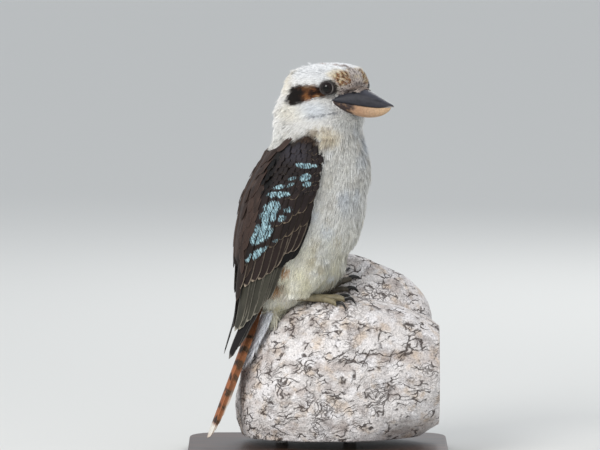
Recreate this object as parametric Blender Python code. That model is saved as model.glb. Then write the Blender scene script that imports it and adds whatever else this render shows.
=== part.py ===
"""A laughing kookaburra at life size, perched on a sawn piece of a thick limb that a plain stand carries.

The bird is drawn in its own frame: X forward, Y to its left, Z up from the soles of its feet.
An empty at the soles turns that frame a little on the stand, and the head has a frame of its own.
The tables hold millimetres, and MM turns them into metres.
"""

import math

import bmesh
import bpy
import numpy as np
from mathutils import Vector
from mathutils.bvhtree import BVHTree

MM = 0.001
GAP = 0.3  # what touching pieces keep between them

# The stand and the limb, in millimetres from the middle of the base's underside
BASE_LENGTH = 244.0
BASE_DEPTH = 176.0
BASE_THICKNESS = 11.0
BASE_CORNER = 26.0
ROD_RADIUS = 6.0
ROD_SIDES = 16
ROD_PLACES = ((-34.0, 4.0), (30.0, 4.0))
LIMB_BOTTOM = 19.0
LIMB_CUT = 114.0
SOLE_LEVEL = 146.5

# How the bird stands: the body turned on the limb, and the head turned on the body
BODY_TURN = math.radians(12.0)
HEAD_TURN = math.radians(-58.0)
EYE_LEVEL = 201.0
HEAD_CENTRE = 9.5

RING_SIDES = 32
COLOURS = {
    "white_feathers": ((0.80, 0.78, 0.73), 0.85),
    "brown_feathers": ((0.065, 0.045, 0.036), 0.75),
    "rufous_feathers": ((0.42, 0.14, 0.055), 0.75),
    "upper_bill_horn": ((0.045, 0.045, 0.055), 0.4),
    "lower_bill_horn": ((0.62, 0.42, 0.29), 0.45),
    "eye": ((0.02, 0.012, 0.01), 0.1),
    "foot_skin": ((0.19, 0.17, 0.13), 0.6),
    "bark": ((0.52, 0.46, 0.41), 0.9),
    "stand_wood": ((0.10, 0.055, 0.03), 0.45),
    "stand_metal": ((0.30, 0.29, 0.28), 0.35),
}

# Level rings of the body from the vent to the crown:
# height, centre, reach forward, reach back, half width, squareness in front, squareness behind, turn
# in degrees
BODY_RINGS = np.array(
    (
        (-7.0, -46.0, 11.0, 5.0, 9.0, 2.0, 2.0, 0.0),
        (-2.0, -46.0, 22.0, 9.0, 14.0, 2.0, 2.0, 0.0),
        (4.0, -46.0, 37.0, 14.5, 19.0, 2.0, 2.0, 0.0),
        (10.0, -44.5, 48.0, 18.5, 22.5, 2.0, 2.0, 0.0),
        (16.0, -42.0, 55.5, 22.0, 25.5, 2.0, 2.0, 0.0),
        (22.0, -40.0, 59.5, 25.0, 28.0, 2.0, 2.0, 0.0),
        (30.0, -37.0, 61.0, 29.0, 31.0, 2.0, 2.0, 0.0),
        (44.0, -30.0, 59.5, 37.0, 34.5, 2.0, 2.1, 0.0),
        (58.0, -23.0, 60.5, 48.0, 37.0, 2.1, 2.1, 0.0),
        (77.0, -17.0, 60.0, 55.0, 39.0, 2.1, 2.1, 0.0),
        (96.0, -12.0, 58.0, 56.5, 40.5, 2.1, 2.1, 0.0),
        (115.0, -8.0, 57.5, 53.0, 40.5, 2.1, 2.1, 0.0),
        (129.0, -6.0, 55.0, 46.5, 39.5, 2.1, 2.1, 0.0),
        (143.0, -3.0, 49.0, 43.0, 37.0, 2.1, 2.1, -2.0),
        (152.0, 0.0, 43.5, 42.0, 35.0, 2.1, 2.1, -8.0),
        (162.0, 2.0, 40.0, 42.5, 33.0, 2.1, 2.1, -22.0),
        (173.0, 5.0, 39.5, 47.5, 32.5, 2.1, 2.2, -42.0),
        (180.0, 6.0, 36.5, 50.5, 32.0, 2.0, 2.2, -50.0),
        (187.0, 7.0, 34.5, 50.0, 31.5, 1.8, 2.2, -56.0),
        (195.0, 8.5, 36.0, 46.5, 31.0, 1.9, 2.3, -58.0),
        (202.0, 9.5, 39.5, 43.0, 31.0, 2.2, 2.4, -58.0),
        (208.0, 9.5, 40.5, 41.0, 30.0, 2.4, 2.4, -58.0),
        (213.5, 9.5, 39.0, 38.5, 27.5, 2.4, 2.4, -58.0),
        (218.0, 10.5, 36.0, 34.0, 23.5, 2.4, 2.3, -58.0),
        (221.0, 14.0, 30.0, 27.5, 18.5, 2.3, 2.2, -58.0),
        (223.4, 15.5, 21.0, 20.0, 12.5, 2.2, 2.1, -58.0),
        (224.6, 16.5, 11.0, 11.0, 6.5, 2.0, 2.0, -58.0),
    )
)
CROWN_TOP = 225.1
NECK_TOP = 166.0
NECK_FOOT = 143.0

# The surface that the folded wings share, from the shoulders to the wing tips:
# height, centre, reach forward, reach back, half width, squareness
WING_RINGS = np.array(
    (
        (158.0, 1.0, 40.0, 41.0, 34.0, 2.1),
        (150.0, -1.0, 45.0, 44.0, 39.5, 2.1),
        (143.0, -4.0, 50.0, 46.0, 42.0, 2.1),
        (133.0, -6.0, 56.0, 49.0, 45.0, 2.2),
        (115.0, -9.0, 59.0, 56.0, 47.0, 2.2),
        (96.0, -14.0, 60.0, 59.5, 47.5, 2.2),
        (77.0, -19.0, 60.0, 58.5, 46.5, 2.2),
        (58.0, -26.0, 56.0, 54.5, 44.0, 2.2),
        (40.0, -34.0, 50.0, 47.5, 40.0, 2.2),
        (21.0, -43.0, 42.0, 39.5, 34.5, 2.2),
        (2.0, -52.0, 34.0, 31.5, 29.5, 2.2),
        (-17.0, -62.0, 26.0, 23.5, 25.0, 2.1),
        (-36.0, -73.0, 20.0, 18.0, 21.0, 2.0),
        (-56.0, -83.0, 16.0, 14.0, 18.0, 2.0),
    )
)[::-1]

# Tiers of the folded wing's feathers, first feather at its lower edge and last at the back. Places are
# forward and up in the bird's frame. name: count, first root, last root, first tip, last tip, half width,
# depth below the surface, shingle tilt
WING_TIERS = {
    "primaries": (6, (-36.0, 64.0), (-52.0, 60.0), (-70.0, -18.0), (-92.5, -54.0), 5.6, -5.6, 0.6),
    "secondaries": (6, (-43.0, 68.0), (-68.0, 68.0), (-63.0, -2.0), (-85.0, -26.0), 7.2, -3.6, 0.75),
    "greater_coverts": (6, (-26.0, 90.5), (-66.0, 80.5), (-40.5, 46.0), (-79.0, 13.0), 8.1, -1.95, 0.72),
    "median_coverts": (5, (-18.0, 121.5), (-54.0, 107.5), (-29.0, 78.0), (-71.0, 46.0), 9.3, -0.75, 0.72),
    "scapulars": (4, (-36.0, 148.0), (-47.0, 136.0), (-73.0, 72.0), (-82.0, 34.0), 7.4, 0.4, 0.6),
}
WING_FRONT = ((156.0, -13.0), (150.0, -8.0), (140.0, -4.0), (128.0, -7.0), (110.0, -11.0), (96.0, -15.0),
              (77.0, -22.0), (58.0, -31.0), (40.0, -40.0))
FEATHER_STATIONS = (0.0, 0.35, 0.68, 0.88, 1.0)
FEATHER_WIDTHS = (0.5, 0.92, 1.0, 0.84, 0.26)
FEATHER_DIPS = (-3.4, -0.9, 0.0, 0.0, 0.0)
VANE_THICKNESS = 0.6
FAR_TIPS = (-5.0, 5.0)  # how far back and up the left wing's longest feathers reach past the right wing's

TAIL_ROOT = (-55.0, 9.0)
TAIL_TIP = (-106.5, -127.5)
TAIL_PAIRS = 6
TAIL_FEATHER_WIDTH = 9.0
TAIL_SPREAD = 1.15
TAIL_LAYER = 0.85

# The bill in the head's frame: forward, ridge height, mouth line height, half width
UPPER_BILL = np.array(
    (
        (17.0, -5.0, -9.0, 21.5),
        (25.0, -3.5, -10.8, 19.6),
        (33.0, -0.8, -12.2, 16.8),
        (42.0, 1.2, -13.4, 13.2),
        (52.0, -0.5, -14.6, 10.2),
        (62.0, -3.9, -15.5, 7.6),
        (72.0, -7.8, -15.8, 5.2),
        (80.0, -10.8, -15.2, 3.2),
        (85.5, -12.6, -14.7, 1.6),
        (88.0, -13.6, -14.9, 0.6),
    )
)
# forward, mouth line height, keel height, half width
LOWER_BILL = np.array(
    (
        (17.0, -9.4, -16.0, 20.0),
        (25.0, -11.2, -19.5, 18.2),
        (33.0, -12.6, -23.0, 15.8),
        (42.0, -13.8, -25.3, 12.2),
        (52.0, -15.0, -26.2, 9.3),
        (62.0, -15.9, -25.6, 6.8),
        (72.0, -16.2, -23.4, 4.6),
        (79.0, -15.6, -20.2, 2.6),
        (84.0, -15.2, -16.8, 0.9),
    )
)
BILL_SIDES = 14
NOSTRIL = ((40.0, 11.9, -5.6), (44.0, 11.2, -5.9), (47.5, 10.6, -6.6))  # forward, to the side, up

EYE_PLACE = (25.0, 25.9, 1.2)  # forward, to the side and up from the head's centre at eye level
EYE_FORWARD = math.radians(28.0)  # how far ahead of sideways the eyes look
EYE_RADIUS = 7.0
EYE_DEPTH = 3.9
LID_RADIUS = 6.3
LID_THICKNESS = 1.15

# Each leg: side, hip, heel, ball of the foot, all in the bird's frame
LEGS = {
    "right": (-1, (-13.0, -18.0, 48.0), (-25.0, -22.0, 5.5), (-3.0, -20.5)),
    "left": (1, (-8.0, 17.0, 52.0), (-5.0, 14.0, 19.0), (10.0, 10.5)),
}
# Toes: turn from straight ahead in degrees, length, radius at the root
TOES = ((-17.0, 24.0, 2.9), (1.0, 27.0, 3.2), (20.0, 20.0, 2.7), (-152.0, 14.0, 2.8))
CLAW_LENGTH = 10.0
TARSUS_RADIUS = 3.4

# Level rings of the limb, from its sawn foot up to where the bird stands: height, left, right, near and
# far reach. The shoulder rises out of it behind the bird.
LIMB_RINGS = np.array(
    (
        (19.0, -74.0, 96.0, -56.0, 68.0),
        (33.0, -79.0, 118.0, -60.0, 74.0),
        (53.0, -79.5, 134.0, -61.0, 78.0),
        (73.0, -75.0, 140.0, -60.0, 80.0),
        (89.0, -68.5, 140.0, -57.0, 79.0),
        (103.0, -60.0, 134.0, -53.0, 77.0),
        (115.0, -51.5, 124.0, -49.0, 73.0),
        (125.0, -43.0, 112.0, -46.0, 66.0),
        (133.0, -35.5, 97.0, -43.0, 58.0),
        (138.0, -30.0, 85.0, -40.0, 52.0),
        (142.0, -24.5, 73.0, -36.5, 45.0),
        (146.0, -17.0, 58.0, -30.0, 36.0),
        (149.0, -8.0, 42.0, -20.0, 26.0),
    )
)
LIMB_TOP = (16.0, 3.0, 150.5)
SHOULDER_RINGS = np.array(
    (
        (96.0, -26.0, 104.0, -8.0, 72.0),
        (118.0, -28.0, 106.0, -6.0, 76.0),
        (136.0, -24.0, 104.5, -1.0, 77.0),
        (150.0, -17.0, 97.5, 7.0, 76.0),
        (158.0, -12.0, 90.0, 14.5, 74.0),
        (167.5, -5.0, 77.0, 25.0, 70.0),
        (176.0, 2.0, 58.0, 34.0, 65.0),
        (182.0, 7.0, 44.0, 41.0, 61.0),
        (186.0, 14.0, 31.0, 46.0, 57.0),
    )
)
SHOULDER_TOP = (22.0, 51.5, 187.5)
SHOULDER_TURN = math.radians(8.0)
LIMB_SIDES = 30
LIMB_SQUARENESS = 2.1
LIMB_LUMPS = ((3, 0.022, 0.6, 0.024), (5, 0.018, 2.1, -0.041), (9, 0.009, 4.0, 0.062))


def smooth(table, heights):
    """Every column of a table at the given values of its first column, on smooth curves through its rows."""
    knots = table[:, 0]
    slopes = np.gradient(table[:, 1:], knots, axis=0)
    found = np.clip(np.searchsorted(knots, heights, side="right") - 1, 0, len(knots) - 2)
    span = (knots[found + 1] - knots[found])[:, None]
    t = (np.asarray(heights)[:, None] - knots[found][:, None]) / span
    start, end = table[found, 1:], table[found + 1, 1:]
    return (
        start * (1 + 2 * t) * (1 - t) ** 2
        + slopes[found] * span * t * (1 - t) ** 2
        + end * t * t * (3 - 2 * t)
        - slopes[found + 1] * span * t * t * (1 - t)
    )


def turned(forward, side, angle):
    """Forward and side reach turned about the vertical by an angle."""
    return forward * np.cos(angle) - side * np.sin(angle), forward * np.sin(angle) + side * np.cos(angle)


def super_ring(front, back, half_width, square_front, square_back, sides):
    """Points round a rounded square whose front and back reach differ: an ellipse where squareness is 2."""
    angle = np.linspace(0.0, 2.0 * math.pi, sides, endpoint=False)
    along, across = np.cos(angle), np.sin(angle)
    power = np.where(along > 0, 2.0 / square_front, 2.0 / square_back)
    reach = np.where(along > 0, front, back)
    forward = np.sign(along) * np.abs(along) ** power * reach
    return forward, np.sign(across) * np.abs(across) ** power * half_width


def body_ring(height, grow=0.0):
    """One level ring of the body, in the bird's frame."""
    centre, front, back, half, square_front, square_back, turn = smooth(BODY_RINGS, [height])[0]
    forward, side = super_ring(front + grow, back + grow, half + grow, square_front, square_back, RING_SIDES)
    x, y = turned(forward, side, math.radians(turn))
    return np.column_stack((x + centre, y, np.full(RING_SIDES, height)))


def new_object(name, points, faces):
    """A closed mesh object from points in millimetres, with its faces turned outward."""
    data = bpy.data.meshes.new(name)
    data.from_pydata([tuple(p * MM for p in point) for point in points], [], faces)
    mesh = bmesh.new()
    mesh.from_mesh(data)
    bmesh.ops.recalc_face_normals(mesh, faces=mesh.faces)
    if mesh.calc_volume(signed=True) < 0:
        bmesh.ops.reverse_faces(mesh, faces=mesh.faces)
    mesh.to_mesh(data)
    mesh.free()
    made = bpy.data.objects.new(name, data)
    bpy.context.scene.collection.objects.link(made)
    return made


def loft(name, rings, low_pole=None, high_pole=None, split=False):
    """A closed skin over a stack of rings, with flat ends, or a point where a pole is given. Split makes
    two triangles of each four-cornered face, all along the same diagonal."""
    sides = len(rings[0])
    points = [point for ring in rings for point in ring]
    faces = []
    for k in range(len(rings) - 1):
        for i in range(sides):
            j = (i + 1) % sides
            face = (k * sides + i, k * sides + j, (k + 1) * sides + j, (k + 1) * sides + i)
            faces += [face[:3], (face[0], *face[2:])] if split else [face]
    for pole, first, flip in ((low_pole, 0, True), (high_pole, (len(rings) - 1) * sides, False)):
        if pole is None:
            cap = [first + i for i in range(sides)]
            faces.append(cap[::-1] if flip else cap)
            continue
        points.append(pole)
        for i in range(sides):
            edge = (first + i, first + (i + 1) % sides)
            faces.append((*(edge[::-1] if flip else edge), len(points) - 1))
    return new_object(name, points, faces)


def tube(name, path, radii, sides=8, flatten=1.0):
    """A closed round bar along a path, with a radius at each point of it. flatten squeezes its height."""
    path = np.asarray(path, float)
    ahead = np.gradient(path, axis=0)
    ahead /= np.linalg.norm(ahead, axis=1)[:, None]
    across = np.cross(ahead, (0.0, 0.0, 1.0))
    across /= np.linalg.norm(across, axis=1)[:, None]
    up = np.cross(across, ahead) * flatten
    angle = np.linspace(0.0, 2.0 * math.pi, sides, endpoint=False)[None, :, None]
    reach = np.asarray(radii, float)[:, None, None]
    rings = path[:, None] + reach * (-across[:, None] * np.cos(angle) + up[:, None] * np.sin(angle))
    return loft(name, rings)


def boolean(target, operation, other, solver="EXACT"):
    """Joins, cuts or keeps what is common, and puts the result in the target's own mesh."""
    modifier = target.modifiers.new("boolean", "BOOLEAN")
    modifier.operation = operation
    modifier.solver = solver
    if isinstance(other, bpy.types.Collection):
        modifier.operand_type = "COLLECTION"
        modifier.collection = other
    else:
        modifier.object = other
    graph = bpy.context.evaluated_depsgraph_get()
    mesh = bpy.data.meshes.new_from_object(target.evaluated_get(graph))
    target.modifiers.clear()
    target.data = mesh


def remove(*objects):
    for each in objects:
        bpy.data.objects.remove(each)


def keep_largest(target):
    """Drops every closed surface but the largest, which also fills hollows that a join sealed."""
    mesh = bmesh.new()
    mesh.from_mesh(target.data)
    bmesh.ops.triangulate(mesh, faces=mesh.faces)
    left = set(mesh.verts)
    bodies = []
    while left:
        body, front = set(), [left.pop()]
        while front:
            vert = front.pop()
            body.add(vert)
            for edge in vert.link_edges:
                other = edge.other_vert(vert)
                if other in left:
                    left.discard(other)
                    front.append(other)
        bodies.append(body)
    bodies.sort(key=lambda body: -max_extent(body))
    for body in bodies[1:]:
        bmesh.ops.delete(mesh, geom=list(body), context="VERTS")
    mesh.to_mesh(target.data)
    mesh.free()


def max_extent(verts):
    """The diagonal of the box round some vertices."""
    places = np.array([vert.co for vert in verts])
    return float(np.linalg.norm(places.max(0) - places.min(0)))


def join(name, pieces, solver="MANIFOLD"):
    """Fuses closed pieces into one closed body."""
    first, rest = pieces[0], pieces[1:]
    first.name = name
    group = bpy.data.collections.new(name + "_pieces")
    bpy.context.scene.collection.children.link(group)
    for piece in rest:
        group.objects.link(piece)
    boolean(first, "UNION", group, solver)
    remove(*rest)
    bpy.data.collections.remove(group)
    keep_largest(first)
    return first


def cut(target, cutter, solver="MANIFOLD"):
    """Takes the cutter's shape out of the target and removes the cutter."""
    boolean(target, "DIFFERENCE", cutter, solver)
    remove(cutter)
    keep_largest(target)


def finish(target, slot, parent=None, angle=35.0):
    """Gives a node its material, its smooth shading and its parent."""
    material = bpy.data.materials.get(slot)
    if material is None:
        colour, roughness = COLOURS[slot]
        material = bpy.data.materials.new(slot)
        material.use_nodes = True
        shader = material.node_tree.nodes["Principled BSDF"]
        shader.inputs["Base Color"].default_value = (*colour, 1.0)
        shader.inputs["Roughness"].default_value = roughness
        shader.inputs["Metallic"].default_value = 1.0 if slot == "stand_metal" else 0.0
    target.data.materials.clear()
    target.data.materials.append(material)
    target.data.shade_smooth()
    target.data.set_sharp_from_angle(angle=math.radians(angle))
    target.parent = parent
    return target


def body_piece(name, low, high, step, grow=0.0):
    """The body between two levels, as a closed solid. Past its ends it closes to a point."""
    lowest, highest = BODY_RINGS[0, 0], BODY_RINGS[-1, 0]
    low_pole = (BODY_RINGS[0, 1], 0.0, lowest - 2.0 - grow) if low < lowest else None
    high_pole = (BODY_RINGS[-1, 1], 0.0, CROWN_TOP + grow) if high > highest else None
    start, end = max(low, lowest), min(high, highest)
    heights = np.linspace(start, end, 1 + max(1, round((end - start) / step)))
    if high > highest:
        rounding = (202.0, 208.0, 213.5, 218.0, 221.0, 223.6, 225.6)
        heights = np.concatenate((heights[heights < rounding[0] - 2.0], rounding))
    return loft(name, [body_ring(height, grow) for height in heights], low_pole, high_pole)


def head_point(forward, side, up):
    """A point of the head's frame in the bird's frame. Side is to the bird's left."""
    x, y = turned(forward, side, HEAD_TURN)
    return np.array((x + HEAD_CENTRE, y, up + EYE_LEVEL))


def eye_centre(side):
    """The middle of an eyeball, sunk in the head along the way that the eye looks."""
    forward, aside, up = EYE_PLACE
    look = eye_axis(side)
    return head_point(forward, side * aside, up) - look * EYE_DEPTH


def eye_axis(side):
    """The way an eye looks: out to its side, and a little forward."""
    x, y = turned(math.sin(EYE_FORWARD), side * math.cos(EYE_FORWARD), HEAD_TURN)
    return np.array((x, y, 0.0))


def ball(name, centre, radius, rings=8, sides=16):
    """A sphere with its poles up and down."""
    angle = np.linspace(-math.pi / 2, math.pi / 2, rings + 1)[1:-1]
    around = np.linspace(0.0, 2.0 * math.pi, sides, endpoint=False)
    stack = [
        np.column_stack(
            (
                centre[0] + radius * math.cos(a) * np.cos(around),
                centre[1] + radius * math.cos(a) * np.sin(around),
                np.full(sides, centre[2] + radius * math.sin(a)),
            )
        )
        for a in angle
    ]
    return loft(name, stack, (*centre[:2], centre[2] - radius), (*centre[:2], centre[2] + radius))


def lid(name, side):
    """The rim of bare skin round an eye, as a closed ring."""
    centre, look = eye_centre(side), eye_axis(side)
    middle = centre + look * (EYE_DEPTH - 0.55)
    level = np.cross((0.0, 0.0, 1.0), look)
    points, faces = [], []
    round_steps, tube_steps = 18, 5
    for i in range(round_steps):
        a = 2.0 * math.pi * i / round_steps
        out = level * math.cos(a) + np.array((0.0, 0.0, 1.0)) * math.sin(a)
        for j in range(tube_steps):
            b = 2.0 * math.pi * j / tube_steps
            reach, lift = LID_RADIUS + LID_THICKNESS * math.cos(b), LID_THICKNESS * math.sin(b)
            points.append(middle + out * reach + look * lift)
            k = (i + 1) % round_steps
            m = (j + 1) % tube_steps
            faces.append((i * tube_steps + j, k * tube_steps + j, k * tube_steps + m, i * tube_steps + m))
    return new_object(name, points, faces)


def make_head(bird):
    """The head with its lids, hollowed for the eyes and for the root of the bill."""
    head = body_piece("head", NECK_TOP + GAP / 2, 300.0, 5.5)
    head = join("head", [head, lid("lid_right", -1), lid("lid_left", 1)])
    for side in (-1, 1):
        cut(head, ball("socket", eye_centre(side), EYE_RADIUS + GAP))
    for name, table, upper in (("upper_root", UPPER_BILL, True), ("lower_root", LOWER_BILL, False)):
        cut(head, bill_half(name, table, upper, 1.3 * GAP))
    return finish(head, "white_feathers", bird)


def bill_half(name, table, upper, grow=0.0):
    """One half of the bill: a ridged, tapering horn along the head's forward axis."""
    angle = np.linspace(0.0, math.pi, BILL_SIDES // 2 + 1)
    rings = []
    stations = np.sort(np.concatenate((table[:, 0], (table[1:, 0] + table[:-1, 0]) / 2)))
    for number, (forward, (top, bottom, width)) in enumerate(zip(stations, smooth(table, stations))):
        edge, rise = (bottom, 1.0) if upper else (top, -1.0)
        across = np.cos(angle) * (width + 2.0 * grow)
        lift = np.sin(angle) ** (0.85 if upper else 0.9) * (top - bottom + 2.0 * grow) - grow
        across = np.append(across, (-0.55 * width, 0.0, 0.55 * width))
        lift = np.append(lift, (-grow, -grow, -grow))
        reach = forward - (grow if number == 0 else 0.0)
        rings.append([head_point(reach, -a, edge + rise * b) for a, b in zip(across, lift)])
    return loft(name, rings, split=True)


def make_bill(bird):
    """Both halves of the bill. The line between them is the mouth."""
    upper = bill_half("bill_upper", UPPER_BILL, True)
    for side in (-1, 1):
        path = [head_point(f, side * s, u) for f, s, u in NOSTRIL]
        cut(upper, tube("nostril", path, (0.9, 1.0, 0.7), 6))
    finish(upper, "upper_bill_horn", bird)
    finish(bill_half("bill_lower", LOWER_BILL, False), "lower_bill_horn", bird)


def make_eyes(bird):
    for side, word in ((-1, "right"), (1, "left")):
        finish(ball("eye_" + word, eye_centre(side), EYE_RADIUS), "eye", bird)


def wing_surface(height, angle, side, depth):
    """A point on the wings' shared surface. The angle runs from the back, 0, to the breast, pi."""
    centre, front, back, half, square = smooth(WING_RINGS, [height])[0]
    along = math.cos(angle)
    reach = back if along > 0 else front
    x = centre - np.sign(along) * abs(along) ** (2.0 / square) * (reach + depth)
    y = abs(math.sin(angle)) ** (2.0 / square) * (half + depth)
    return np.array((x, side * y, height))


def wing_angle(height, x, y=None):
    """The angle at which the wings' surface has that place forward, or lies under a point."""
    centre, front, back, half, square = smooth(WING_RINGS, [height])[0]
    ratio = (centre - x) / (back if centre > x else front)
    if y is None:
        ratio = max(-0.999, min(0.999, ratio))
        return math.acos(math.copysign(abs(ratio) ** (square / 2.0), ratio))
    along = math.copysign(abs(ratio) ** (square / 2.0), ratio)
    return math.atan2(abs(y / half) ** (square / 2.0), along)


def wing_vane(name, root, tip, half_width, depth, tilt, side):
    """One feather that lies along the wings' surface from its root to its tip, as a thin closed blade."""
    root_angle, tip_angle = wing_angle(root[1], root[0]), wing_angle(tip[1], tip[0])
    middles = []
    for s in FEATHER_STATIONS:
        height = root[1] + (tip[1] - root[1]) * s
        middles.append(wing_surface(height, root_angle + (tip_angle - root_angle) * s, side, 0.0))
    ahead = np.gradient(np.array(middles), axis=0)
    rings = []
    for middle, way, share, dip in zip(middles, ahead, FEATHER_WIDTHS, FEATHER_DIPS):
        angle = wing_angle(middle[2], middle[0], middle[1])
        out = surface_normal(middle[2], angle, side)
        across = np.cross(out, way)
        across /= np.linalg.norm(across)
        ring = []
        for sign, lift in ((1, tilt * side), (-1, -tilt * side)):
            edge = middle + across * (sign * half_width * share)
            edge_angle = wing_angle(edge[2], edge[0], edge[1])
            top = depth + dip + lift * share
            ring.append(wing_surface(edge[2], edge_angle, side, top))
            ring.append(wing_surface(edge[2], edge_angle, side, top - VANE_THICKNESS))
        rings.append([ring[0], ring[1], ring[3], ring[2]])
    if side > 0:
        rings = [ring[::-1] for ring in rings]
    return loft(name, rings)


def surface_normal(height, angle, side):
    """The outward direction of the wings' surface."""
    step = 0.02
    around = wing_surface(height, angle + step, side, 0.0) - wing_surface(height, angle - step, side, 0.0)
    rise = wing_surface(height + 1.0, angle, side, 0.0) - wing_surface(height - 1.0, angle, side, 0.0)
    out = np.cross(around, rise)
    out /= np.linalg.norm(out)
    return out if out[1] * side > 0 or abs(out[1]) < 0.1 and out[0] < 0 else -out


def wing_core(name, side):
    """The arm and hand of a folded wing under their smallest feathers: a plate that carries the long ones."""
    heights = (155.0, 148.0, 140.0, 128.0, 112.0, 96.0, 80.0, 64.0, 50.0)
    depth_out = (-3.2, -1.8, -1.4, -1.5, -2.3, -3.2, -4.3, -5.6, -6.8)
    depth_in = (-8.0, -9.5, -10.0, -10.0, -10.0, -10.0, -10.0, -10.0, -9.6)
    fronts = np.interp(heights[::-1], *np.array(WING_FRONT[::-1]).T)[::-1]
    columns = 7
    outer, inner = [], []
    for height, high, low, front in zip(heights, depth_out, depth_in, fronts):
        end = wing_angle(height, front)
        start = 0.34 if height < 140.0 else 0.34 + (height - 140.0) * 0.05
        angles = np.linspace(start, max(end, start + 0.3), columns)
        rounding = np.array([1.6, 0.5, 0.0, 0.0, 0.0, 0.4, 1.5])
        outer.append([wing_surface(height, a, side, high - r) for a, r in zip(angles, rounding)])
        inner.append([wing_surface(height, a, side, low) for a in angles])
    rings = [top + bottom[::-1] for top, bottom in zip(outer, inner)]
    return loft(name, rings)


def make_wing(word, side, bird):
    """A folded wing: its core, and its feathers in tiers from the shoulder to the wing tip."""
    pieces = [wing_core("wing_" + word, side)]
    for tier, (count, root_a, root_b, tip_a, tip_b, half_width, depth, tilt) in WING_TIERS.items():
        for i in range(count):
            share = i / (count - 1)
            root = [a + (b - a) * share for a, b in zip(root_a, root_b)]
            tip = [a + (b - a) * share for a, b in zip(tip_a, tip_b)]
            if side > 0 and tier == "primaries":
                tip = [a + b * (0.3 + 0.7 * share) for a, b in zip(tip, FAR_TIPS)]
            pieces.append(wing_vane(f"{tier}_{i}", root, tip, half_width, depth, tilt, side))
    wing = join("wing_" + word, pieces)
    cut(wing, body_piece("body_room", -100.0, 158.0, 11.0, 2.2 * GAP))
    return finish(wing, "brown_feathers", bird, 25.0)


def tail_axes():
    """The tail's root, the way it hangs, and the way its upper side faces."""
    root = np.array((TAIL_ROOT[0], 0.0, TAIL_ROOT[1]))
    tip = np.array((TAIL_TIP[0], 0.0, TAIL_TIP[1]))
    length = np.linalg.norm(tip - root)
    along = (tip - root) / length
    return root, along, np.array((along[2], 0.0, -along[0])), length


def make_tail(bird):
    """Six pairs of tail feathers, the middle pair on top, all rooted in the stump of the tail."""
    root, along, up, length = tail_axes()
    sideways = np.array((0.0, 1.0, 0.0))
    pieces = [tail_stump(root, along, up, sideways)]
    stations = (0.0, 0.3, 0.62, 0.86, 0.96, 1.0)
    widths = (0.5, 0.8, 0.96, 1.0, 0.72, 0.3)
    for pair in range(TAIL_PAIRS):
        reach = length - 2.2 * pair * pair * 0.5 - 1.0 * pair
        for side in (-1, 1):
            rings = []
            for s, share in zip(stations, widths):
                spread = (0.7 + TAIL_SPREAD * pair) * (0.43 + 0.77 * s)
                drop = TAIL_LAYER * (pair + (0.4 if side > 0 else 0.0)) * (1.1 - 0.35 * s)
                middle = root + along * reach * s - up * drop
                inner, outer = max(0.35, spread - 3.4 * share), spread + TAIL_FEATHER_WIDTH * share
                fall = 0.12 * (outer - inner)
                ring = []
                for place, low in ((inner, 0.0), (outer, fall)):
                    ring.append(middle + sideways * side * place - up * low)
                    ring.append(middle + sideways * side * place - up * (low + VANE_THICKNESS))
                rings.append([ring[0], ring[1], ring[3], ring[2]])
            pieces.append(loft(f"tail_feather_{pair}_{side}", rings))
    tail = join("tail", pieces, "EXACT")
    cut(tail, body_piece("body_room", -100.0, 60.0, 9.0, GAP))
    return finish(tail, "rufous_feathers", bird, 25.0)


def tail_stump(root, along, up, sideways):
    """The soft root of the tail, which carries all its feathers and the coverts above and below them."""
    rows = (
        (-4.0, 11.0, 3.6, 8.6),
        (8.0, 12.0, 3.8, 8.6),
        (22.0, 12.0, 3.3, 7.8),
        (36.0, 10.5, 1.9, 6.4),
        (46.0, 7.6, 0.3, 5.2),
    )
    rings = []
    for distance, half, above, below in rows:
        angle = np.linspace(0.0, 2.0 * math.pi, 16, endpoint=False)
        lift = np.where(np.sin(angle) > 0, above, below) * np.sin(angle)
        middle = root + along * distance
        rings.append([middle + sideways * half * math.cos(a) + up * r for a, r in zip(angle, lift)])
    return loft("tail", rings)


def make_undertail(bird):
    """The long soft feathers under the root of the tail, between it and the limb."""
    root, along, up, length = tail_axes()
    rows = (
        (6.0, 9.5, 9.8, 18.0),
        (24.0, 10.5, 9.4, 17.5),
        (42.0, 9.5, 8.6, 15.0),
        (56.0, 7.5, 8.2, 12.8),
        (68.0, 4.0, 8.0, 10.8),
        (74.0, 1.4, 8.0, 9.4),
    )
    rings = []
    for distance, half, top, bottom in rows:
        angle = np.linspace(0.0, 2.0 * math.pi, 16, endpoint=False)
        middle, reach = (top + bottom) / 2, (bottom - top) / 2
        place = root + along * distance - up * middle
        rings.append([place + (0.0, half * math.cos(a), 0.0) + up * reach * math.sin(a) for a in angle])
    coverts = loft("undertail_coverts", rings)
    cut(coverts, body_piece("body_room", -100.0, 60.0, 9.0, GAP))
    room = make_perch("perch_room", GAP + 0.1)
    coverts.parent = bird
    bpy.context.view_layer.update()
    cut(coverts, room)
    return finish(coverts, "white_feathers", bird)


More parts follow.
